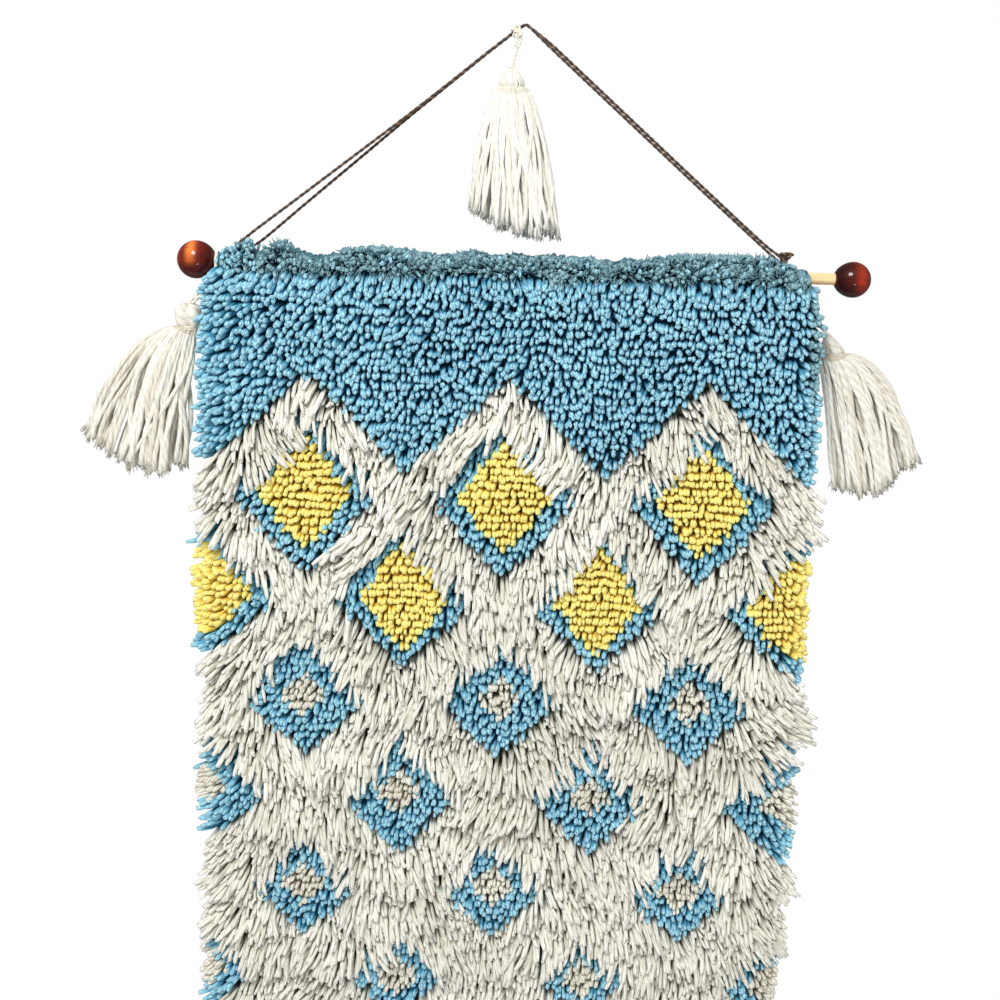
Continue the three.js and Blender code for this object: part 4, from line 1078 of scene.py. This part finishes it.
def tassel(node, t):
    r = np.random.default_rng(t["seed"])
    hx, hy, hz = t["top"]
    neck = hz - t["head_h"]
    lean = t.get("lean", 0.0)
    s = Strands()
    yr = t["yarn"]

    def skirt(a, rho, sv):
        w = lerp(t["head_r"] * t["neck"] - 1.3, t["half_w"] - yr, sv ** t["flare"])
        d = lerp(t["head_r"] * (t["neck"] - 0.04) - 1.3, t["half_d"] - yr, sv ** (t["flare"] + 0.1))
        cx = lerp(hx, t["foot"], sv ** t["bend"])
        side = (np.cos(a) * rho + 1) / 2
        low = lerp(t["low_l"], t["low_r"], side) - t["belly"] * np.sin(np.pi * side)
        return np.stack([cx + np.cos(a) * w * rho, hy + t["back"] * sv + np.sin(a) * d * rho, lerp(neck, low, sv)], -1)

    # the skirt, from its outside in
    cut_ends = []
    spread = t["half_w"] / yr * t["extra"]
    for count, rho0, rho1, drift in ((int(spread * 1.75), 0.92, 1.0, 0.18), (int(spread * 1.0), 0.62, 0.88, 0.3),
                                     (int(spread * 0.5), 0.15, 0.55, 0.4), (6, 0.98, 1.04, 1.0)):
        P, R = [], []
        for i in range(count):
            # strands sit evenly across the breadth of the tassel as well as round it
            a0 = 2 * math.pi * (i + 0.5 + 0.25 * r.uniform(-1, 1)) / count
            a = a0 + 0.24 * math.sin(2 * a0)
            sv = SKIRT_S * (1 + r.uniform(-0.045, 0.02)) ** 1.0
            ph, amp = r.uniform(0, 2 * np.pi, 4), r.normal(0, 1, 5).clip(-1.8, 1.8)
            grow = smooth(sv / 0.45)
            a_ = a + drift * amp[3] * grow * sv + 0.05 * amp[4] * np.sin(sv * 7 + ph[3])
            p = skirt(a_, r.uniform(rho0, rho1), sv)
            wv = t["wave"]
            p[:, 0] += grow * wv * (1.3 * amp[0] * np.sin(sv * 5.0 + ph[0]) + 0.7 * amp[1] * np.sin(sv * 10.5 + ph[1]))
            p[:, 1] += grow * wv * 1.0 * amp[2] * np.sin(sv * 6.1 + ph[2])
            rad = lerp(1.25, yr * (1 + 0.07 * r.normal()), smooth(sv / 0.2)) * (1 + 0.03 * r.normal(0, 1, len(sv)))
            rad[-1] *= 1.08
            P.append(p)
            R.append(rad)
        P, R = np.array(P), np.array(R)
        n = len(P)
        s.add(P, R, 7, (r.integers(0, TILES, n), r.integers(0, TILES, n)), ref=(0.3, 1.0, 0.1), tip=0.1,
              spin=r.uniform(0, 6.28, n), ragged=0.10)
        cut_ends.append((P[:, -1], P[:, -1] - P[:, -2], R[:, -1]))

    # a few fibres stand out of each cut end
    E = np.concatenate([e[0] for e in cut_ends])
    T = np.concatenate([e[1] for e in cut_ends])
    T /= np.linalg.norm(T, axis=1, keepdims=True)
    Re = np.concatenate([e[2] for e in cut_ends])
    for _ in range(5):
        n = len(E)
        off = r.normal(0, 0.5, (n, 3)) * Re[:, None]
        off -= (off * T).sum(1, keepdims=True) * T
        long = r.uniform(1.6, 4.2, n)[:, None]
        a0 = E + off - T * 1.2
        a1 = E + off * 1.25 + T * long * 0.4
        a2 = E + off * 1.7 + T * long + r.normal(0, 0.5, (n, 3))
        s.add(np.stack([a0, a1, a2], 1), np.broadcast_to(np.array([0.62, 0.58, 0.25]), (n, 3)), 3,
              (r.integers(2, TILES, n), r.integers(0, TILES, n)), ref=(0.3, 1.0, 0.1), tip=0.6)

    # the head is a few thick turns of yarn from the knot on top down into the neck
    hh = np.array([0.0, 0.05, 0.14, 0.27, 0.42, 0.58, 0.74, 0.88, 1.0, 1.07])
    prof = np.interp(hh, *zip(*t["head"]))
    P, R = [], []
    for i in range(t["lobes"]):
        a = 2 * math.pi * (i + t["phase"] + 0.2 * r.uniform(-1, 1)) / t["lobes"]
        fat = t["head_r"] * math.sin(math.pi / t["lobes"]) * (0.68 if t["lobes"] < 6 else 0.98)
        rad = fat * np.clip(prof * 1.02, 0.3, 1.0) * (1 + 0.08 * r.normal())
        turn = a + 0.5 * (hh - 0.4) * (0.6 + 0.8 * r.uniform(-1, 1))
        out = np.maximum(t["head_r"] * prof - rad - 0.1 + 0.35 * r.normal(), 0.2)
        P.append(np.stack([hx + lean * (1 - hh) + np.cos(turn) * out, hy + np.sin(turn) * out * 0.92, hz - t["head_h"] * hh], -1))
        R.append(rad)
    n = len(P)
    s.add(np.array(P), np.array(R), 10, (r.integers(2, TILES, n), r.integers(0, TILES, n)), along=0.12 + 0.22 * hh / hh[-1],
          ref=(0.3, 1.0, 0.1), tip=0.4)
    # finer turns of yarn lie over them
    P, R = [], []
    count = 26
    for i in range(count):
        a = 2 * math.pi * (i + 0.4 * r.uniform(-1, 1)) / count
        turn = a + 0.9 * (hh - 0.4) * r.uniform(-0.2, 1.0)
        out = t["head_r"] * prof - 0.9 + 0.25 * np.sin(turn * t["lobes"] + r.uniform(0, 6.28)) + 0.15 * r.normal()
        P.append(np.stack([hx + lean * (1 - hh) + np.cos(turn) * out, hy + np.sin(turn) * out * 0.92,
                           hz - t["head_h"] * hh * 0.97 - 0.3], -1))
        R.append(np.full(len(hh), 0.95) * (1 + 0.12 * r.normal()))
    if t["lobes"] > 5:
        s.add(np.array(P), np.array(R), 6, (r.integers(2, TILES, count), r.integers(0, TILES, count)), ref=(0.3, 1.0, 0.1), tip=0.3)
    core = np.array([[[hx + lean * (1 - h), hy, hz - t["head_h"] * h] for h in (0.03, 0.2, 0.5, 0.8, 1.05)]])
    s.add(core, np.array([[0.2, 0.5, 0.72, 0.6, 0.46]]) * t["head_r"] * np.interp([0.03, 0.2, 0.5, 0.8, 1.05], *zip(*t["head"])), 10,
          (np.array([4]), np.array([4])), ref=(0.3, 1.0, 0.1), tip=0.3)
    ob = s.build(node + "_yarn", TASSEL_PALE if node == "tassel_centre" else TASSEL)
    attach(ob, "root")
    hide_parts(node)
    # the binding under the head
    b = Parts()
    a = np.linspace(0, 2 * np.pi * 2.3, 70)
    rb = t["head_r"] * t["neck"] - 0.9
    helix = np.stack([hx + np.cos(a) * rb, hy + np.sin(a) * rb * 0.93, neck + 1.9 - a / (2 * np.pi) * 1.9], 1)
    b.add(*twisted(helix, 0.8, 6.5, 2, 0.12, 8, 6)[:5])
    # the knot on top of the head
    t_ = np.linspace(0, 2 * np.pi, 50)
    loop = np.stack([hx + lean + (np.sin(t_) + 2 * np.sin(2 * t_)) * 0.75, hy + (-np.sin(3 * t_)) * 1.0,
                     hz + 0.3 + (np.cos(t_) - 2 * np.cos(2 * t_)) * 0.45], 1)
    b.add(*twisted(loop, 0.75, 5.0, 2, 0.14, 8, 6)[:5])
    bind = b.build(node + "_binding", TIE)
    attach(bind, "root")
    return ob, bind


tassels = {k: tassel(k, t) for k, t in TASSELS.items()}

# ties
SIDE_TIE_R, TIE_R = 1.3, 1.0
TIE_WRAP = ROD_R + GAP + SIDE_TIE_R + 0.35


def over_dowel(x, deg):
    a = math.radians(deg)
    return [x, math.cos(a) * TIE_WRAP, ROD_Z + math.sin(a) * TIE_WRAP]


def tie_routes():
    left = [over_dowel(-246.1, d) for d in (-60, -10, 40, 90, 140, 180)] + [
        [-247.3, -7.2, -199.5], [-252.2, -7.1, -207.5], [-259.5, -7.0, -215.5], [-266.0, -7.0, -221.6], [-268.4, -7.0, -225.45]]
    right = [[229.0, -2.2, -202.4], [232.5, -1.0, -200.2], [237.0, 0.2, -198.4], [241.6, 1.2, -198.6], [245.8, 2.4, -202.2],
             [247.9, 3.1, -210], [248.5, 3.3, -219], [251.2, 3.4, -227.4], [255.6, 3.4, -233.4], [258.8, 3.4, -235.67]]
    at, along, down = np.array([-7.6, 0, -3.47]), np.array([-0.794, 0, -0.608]), np.array([0.608, 0, -0.794])
    centre = []
    for deg in range(-520, 516, 45):
        a = math.radians(deg)
        p = at + along * ((deg + 2.5) / 360 * -2.5) - down * math.sin(a) * 3.0
        centre.append([p[0], math.cos(a) * 4.4, p[2]])
    centre += [[-3.6, -4.0, -10.0], [-6.4, -3.0, -18], [-9.0, -1.9, -27], [-9.6, -1.5, -31.51]]
    return {"tie_left": left, "tie_right": right, "tie_centre": centre}


ties = {}
for name, route in tie_routes().items():
    thick = TIE_R if name == "tie_centre" else SIDE_TIE_R
    line = catmull(route, 10)
    v, q, t, quv, tuv, length, path = twisted(line, thick * 1.12, 6.5 if thick < 1.2 else 13.0, 2, 0.13, 10,
                                              8 if thick < 1.2 else 12)
    p = Parts()
    p.add(v, q, t, quv, tuv)
    with_it = []
    if name == "tie_centre":      # the knot of the tie, and its two cut ends
        knot = Parts()
        t_ = np.linspace(0, 2 * np.pi, 70)
        c = np.array([-6.0, -5.6, -6.2])
        loop = np.stack([c[0] + (np.sin(t_) + 2 * np.sin(2 * t_)) * 1.15, c[1] - np.sin(3 * t_) * 1.1,
                         c[2] + (np.cos(t_) - 2 * np.cos(2 * t_)) * 1.0], 1)
        knot.add(*twisted(loop, 1.05, 6.0, 2, 0.14, 8, 6)[:5])
        for tail in ([[-6.4, -6.0, -8.4], [-7.4, -6.4, -10.6], [-7.2, -6.0, -13.4], [-8.2, -5.6, -15.4]],
                     [[-7.4, -6.2, -4.6], [-9.4, -6.8, -2.6], [-11.6, -6.4, -2.4]]):
            knot.add(*twisted(catmull(tail, 8), 0.85, 6.0, 2, 0.14, 8, 6)[:5])
        with_it = [knot.build(name + "_knot", TIE)]
        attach(with_it[0], "root")
    if name == "tie_left":        # a second end of the same yarn lies beside it
        beside = Parts()
        path2 = [[-244.9, -8.4, -194.5], [-245.4, -9.2, -201.0], [-248.2, -9.6, -208.0], [-254.4, -9.5, -215.0], [-261.4, -8.9, -220.8],
                 [-265.6, -8.2, -225.0]]
        beside.add(*twisted(catmull(path2, 10), 1.5, 15.0, 2, 0.1, 10, 12)[:5])
        with_it = [beside.build(name + "_beside", TIE)]
        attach(with_it[0], "root")
    ob = p.build(name + "_yarn", TIE)
    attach(ob, "root")
    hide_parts(name)
    ties[name] = (ob, length)
    print("TIE", name, round(length, 1))
print("CORD", round(cord_length, 1))


# ------------------------------------------------------------ wood
def ball_material(name, deep, mid, bright, place, turn, glow):
    """Stained wood under varnish. glow says where its colour is lightest: (x, z, breadth) about the middle, in mm."""
    m = Nodes(name)
    co = m.new("ShaderNodeTexCoord")
    mp = m.new("ShaderNodeMapping")
    m.plug(mp.inputs[0], co.outputs["Object"])
    mp.inputs["Location"].default_value = [-c * 0.001 for c in place]
    mp2 = m.new("ShaderNodeMapping")
    m.plug(mp2.inputs[0], mp.outputs[0])
    mp2.inputs["Rotation"].default_value = turn
    mp2.inputs["Scale"].default_value = (14, 70, 70)
    slow = m.noise(mp2.outputs[0], 1.0, 3.0, 0.55)
    mp3 = m.new("ShaderNodeMapping")
    m.plug(mp3.inputs[0], mp2.outputs[0])
    mp3.inputs["Scale"].default_value = (1.5, 9, 9)
    fine = m.noise(mp3.outputs[0], 1.6, 4.0, 0.65)
    sep = m.new("ShaderNodeSeparateXYZ")
    m.plug(sep.inputs[0], mp.outputs[0])
    gx, gz, gw = (v * 0.001 for v in glow)
    dx = m.math("ABSOLUTE", m.math("SUBTRACT", sep.outputs[0], gx))
    dz = m.math("ABSOLUTE", m.math("SUBTRACT", sep.outputs[2], gz))
    band = m.math("MULTIPLY", m.span(dx, 0.0, gw, 1.0, 0.0), m.span(dz, gw * 0.4, gw * 2.6, 1.0, 0.0))
    band = m.math("MULTIPLY", band, m.span(slow, 0.25, 0.6, 0.55, 1.0))
    col = m.ramp(slow, [(0.30, deep), (0.72, mid)])
    col = m.mix(band, col, bright)
    col = m.mix(m.span(fine, 0.45, 0.7, 0.0, 0.45), col, deep)
    # painted shade: the half towards the dowel darkens towards the deep colour
    toward_dowel = m.math("MULTIPLY", sep.outputs[0], -1.0 if gx > 0 else 1.0)
    col = m.mix(m.span(toward_dowel, 0.001, 0.0130, 0.0, 0.9), col, deep)
    # painted shade: darker towards the bottom
    col = m.mix(m.span(sep.outputs[2], -0.014, -0.002, 0.55, 0.0), col, deep)
    m.plug(m.bsdf.inputs["Base Color"], col)
    m.bump(fine, 0.06, 0.0002)
    m.shader(0.5, 0.0, 0.5, 0.12, 0.5, 0.05)
    return m.mat


def turned(name, profile, centre, sign, material, around=56):
    """A turned piece about the dowel's line. profile holds (distance along from the centre, radius)."""
    pr = np.array(profile, float)
    n = len(pr)
    a = 2 * np.pi * np.arange(around) / around
    v = np.empty((n, around, 3))
    v[..., 0] = centre[0] + sign * pr[:, 0][:, None]
    v[..., 1] = centre[1] + pr[:, 1][:, None] * np.cos(a)[None]
    v[..., 2] = centre[2] + pr[:, 1][:, None] * np.sin(a)[None]
    k, k1 = np.arange(around), (np.arange(around) + 1) % around
    rows = np.arange(n - 1)[:, None] * around
    q = np.stack([rows + k, rows + k1, rows + around + k1, rows + around + k], -1).reshape(-1, 4)
    v = np.vstack([v.reshape(-1, 3), [[centre[0] + sign * pr[0, 0], centre[1], centre[2]], [centre[0] + sign * pr[-1, 0], centre[1], centre[2]]]])
    c0, c1 = n * around, n * around + 1
    last = (n - 1) * around
    t = np.concatenate([np.stack([k1, k, np.full(around, c0)], -1), np.stack([last + k, last + k1, np.full(around, c1)], -1)])
    if sign < 0:
        q, t = q[:, ::-1], t[:, ::-1]
    # profile runs from the outer pole inwards, so turn the faces out
    q, t = q[:, ::-1], t[:, ::-1]
    return mesh_object(name, v, [q, t], None, material)


def ball(node, sign, radius, centre, material, neck):
    bore = ROD_R + GAP
    prof = []
    for d in np.linspace(0.5, 180, 44):
        a = math.radians(d)
        x, r = math.cos(a) * radius, math.sin(a) * radius
        if r < bore + 0.9 and d > 90:
            break
        if d > 90:   # drawn out a little towards the dowel
            x *= 1 + neck * smooth((d - 90) / 60)
        prof.append((x, r))
    x_end = prof[-1][0]
    prof.append((x_end - 0.5, bore + 0.35))
    prof.append((x_end - 0.3, bore))
    prof.append((x_end + 12, bore))
    ob = turned(node + "_turned", prof, centre, sign, material)
    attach(ob, "root")
    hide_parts(node)
    return ob


WOOD_L = ball_material("stained_left", srgb(62, 10, 6), srgb(136, 38, 14), srgb(238, 128, 56), (ROD_X - BALL_SPACING / 2, 0, ROD_Z),
                       (0.2, 0.9, 0.4), (-2.5, 10.5, 6.8))
WOOD_R = ball_material("stained_right", srgb(44, 8, 7), srgb(96, 20, 13), srgb(176, 54, 26), (ROD_X + BALL_SPACING / 2, 0, ROD_Z),
                       (1.1, 0.5, 2.2), (6.0, 1.0, 9.0))
ball("ball_left", -1, 15.5, (ROD_X - BALL_SPACING / 2, 0, ROD_Z), WOOD_L, 0.06)
ball("ball_right", 1, 14.6, (ROD_X + BALL_SPACING / 2, 0, ROD_Z), WOOD_R, 0.10)


def dowel_material():
    m = Nodes("dowel_wood")
    co = m.new("ShaderNodeTexCoord")
    mp = m.new("ShaderNodeMapping")
    m.plug(mp.inputs[0], co.outputs["Object"])
    mp.inputs["Scale"].default_value = (12, 240, 240)
    grain = m.noise(mp.outputs[0], 1.0, 4.0, 0.6)
    mp2 = m.new("ShaderNodeMapping")
    m.plug(mp2.inputs[0], co.outputs["Object"])
    mp2.inputs["Scale"].default_value = (60, 1600, 1600)
    pore = m.noise(mp2.outputs[0], 1.0, 3.0, 0.6)
    col = m.ramp(grain, [(0.3, srgb(222, 180, 122)), (0.55, srgb(244, 212, 158)), (0.75, srgb(252, 230, 186))])
    col = m.mix(m.span(pore, 0.6, 0.75, 0.0, 0.5), col, srgb(186, 138, 84))
    m.plug(m.bsdf.inputs["Base Color"], col)
    m.bump(pore, 0.15, 0.0002)
    m.shader(0.5, 0.0, 0.5, 0.4)
    return m.mat


half = BALL_SPACING / 2 - 0.5
prof = [(half, 4.2), (half - 0.5, ROD_R)] + [(x, ROD_R) for x in np.linspace(half - 8, -half + 8, 40)] + [(-half + 0.5, ROD_R), (-half, 4.2)]
dowel = turned("dowel_rod", prof, (ROD_X, 0, ROD_Z), 1, dowel_material(), 40)
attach(dowel, "root")
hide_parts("dowel")


# ---------------------------------------------------------- light and floor
def area(name, at, to, size, power, colour=(1, 1, 1)):
    d = bpy.data.lights.new(name, "AREA")
    d.shape, d.size, d.energy, d.color = "SQUARE", size, power, colour
    o = bpy.data.objects.new(name, d)
    scene.collection.objects.link(o)
    o.location = at
    o.rotation_euler = (Vector(to) - Vector(at)).to_track_quat("-Z", "Y").to_euler()
    return o


area("key", (-0.55, -1.55, 1.25), (0, 0, -0.45), 0.75, 46)
area("fill", (0.35, -1.9, -1.1), (0, 0, -0.4), 0.22, 3.5)

world = bpy.data.worlds.new("studio")
scene.world = world
world.use_nodes = True
wn = world.node_tree
wn.nodes.clear()
w_out = wn.nodes.new("ShaderNodeOutputWorld")
w_bg = wn.nodes.new("ShaderNodeBackground")
w_lp = wn.nodes.new("ShaderNodeLightPath")
w_m1 = wn.nodes.new("ShaderNodeMath")
w_m1.operation = "MULTIPLY_ADD"
w_m1.inputs[1].default_value = 0.42
w_m1.inputs[2].default_value = 0.58
wn.links.new(w_lp.outputs["Is Camera Ray"], w_m1.inputs[0])
w_m2 = wn.nodes.new("ShaderNodeMath")
w_m2.operation = "MULTIPLY_ADD"
w_m2.inputs[1].default_value = -0.36
wn.links.new(w_lp.outputs["Is Glossy Ray"], w_m2.inputs[0])
wn.links.new(w_m1.outputs[0], w_m2.inputs[2])
wn.links.new(w_m2.outputs[0], w_bg.inputs["Strength"])
wn.links.new(w_bg.outputs[0], w_out.inputs[0])
w_bg.inputs["Color"].default_value = (1, 1, 1, 1)

fm = Nodes("floor_paint")
fo = fm.new("ShaderNodeTexCoord").outputs["Object"]
fl = fm.noise(fo, 6.0, 2.0)
fm.plug(fm.bsdf.inputs["Base Color"], fm.mix(fl, srgb(246, 246, 245), srgb(250, 250, 250)))
away = fm.new("ShaderNodeVectorMath", operation="LENGTH")
f_sep = fm.new("ShaderNodeSeparateXYZ")
fm.plug(f_sep.inputs[0], fo)
fm.plug(away.inputs[0], fm.vec(f_sep.outputs[0], f_sep.outputs[1], 0.0))
# painted light: the floor glows, more towards its rim, so that it runs out into the white world behind
fm.bsdf.inputs["Emission Color"].default_value = (1, 1, 1, 1)
fm.plug(fm.bsdf.inputs["Emission Strength"], fm.span(away.outputs["Value"], 0.35, 1.05, 0.0, 0.5))
fm.shader(0.9, 0, 0.5, 0.1)
FLOOR_R, FLOOR_Z = 1120.0, -1600.0
fa = 2 * np.pi * np.arange(96) / 96
fr_ = np.array([0.0, 0.25, 0.5, 0.75, 1.0]) * FLOOR_R
fv = np.array([[0.0, 0.0, FLOOR_Z]] + [[math.cos(t) * q, math.sin(t) * q, FLOOR_Z] for q in fr_[1:] for t in fa])
ring = lambda k: 1 + k * 96 + np.arange(96)
nxt = lambda k: 1 + k * 96 + (np.arange(96) + 1) % 96
ftris = np.stack([np.zeros(96, int), ring(0), nxt(0)], -1)
fquads = np.concatenate([np.stack([ring(k), ring(k + 1), nxt(k + 1), nxt(k)], -1) for k in range(3)])
floor = mesh_object("floor", fv, [fquads, ftris], None, fm.mat, False)
floor.visible_glossy = False      # its rim would shine in the varnish
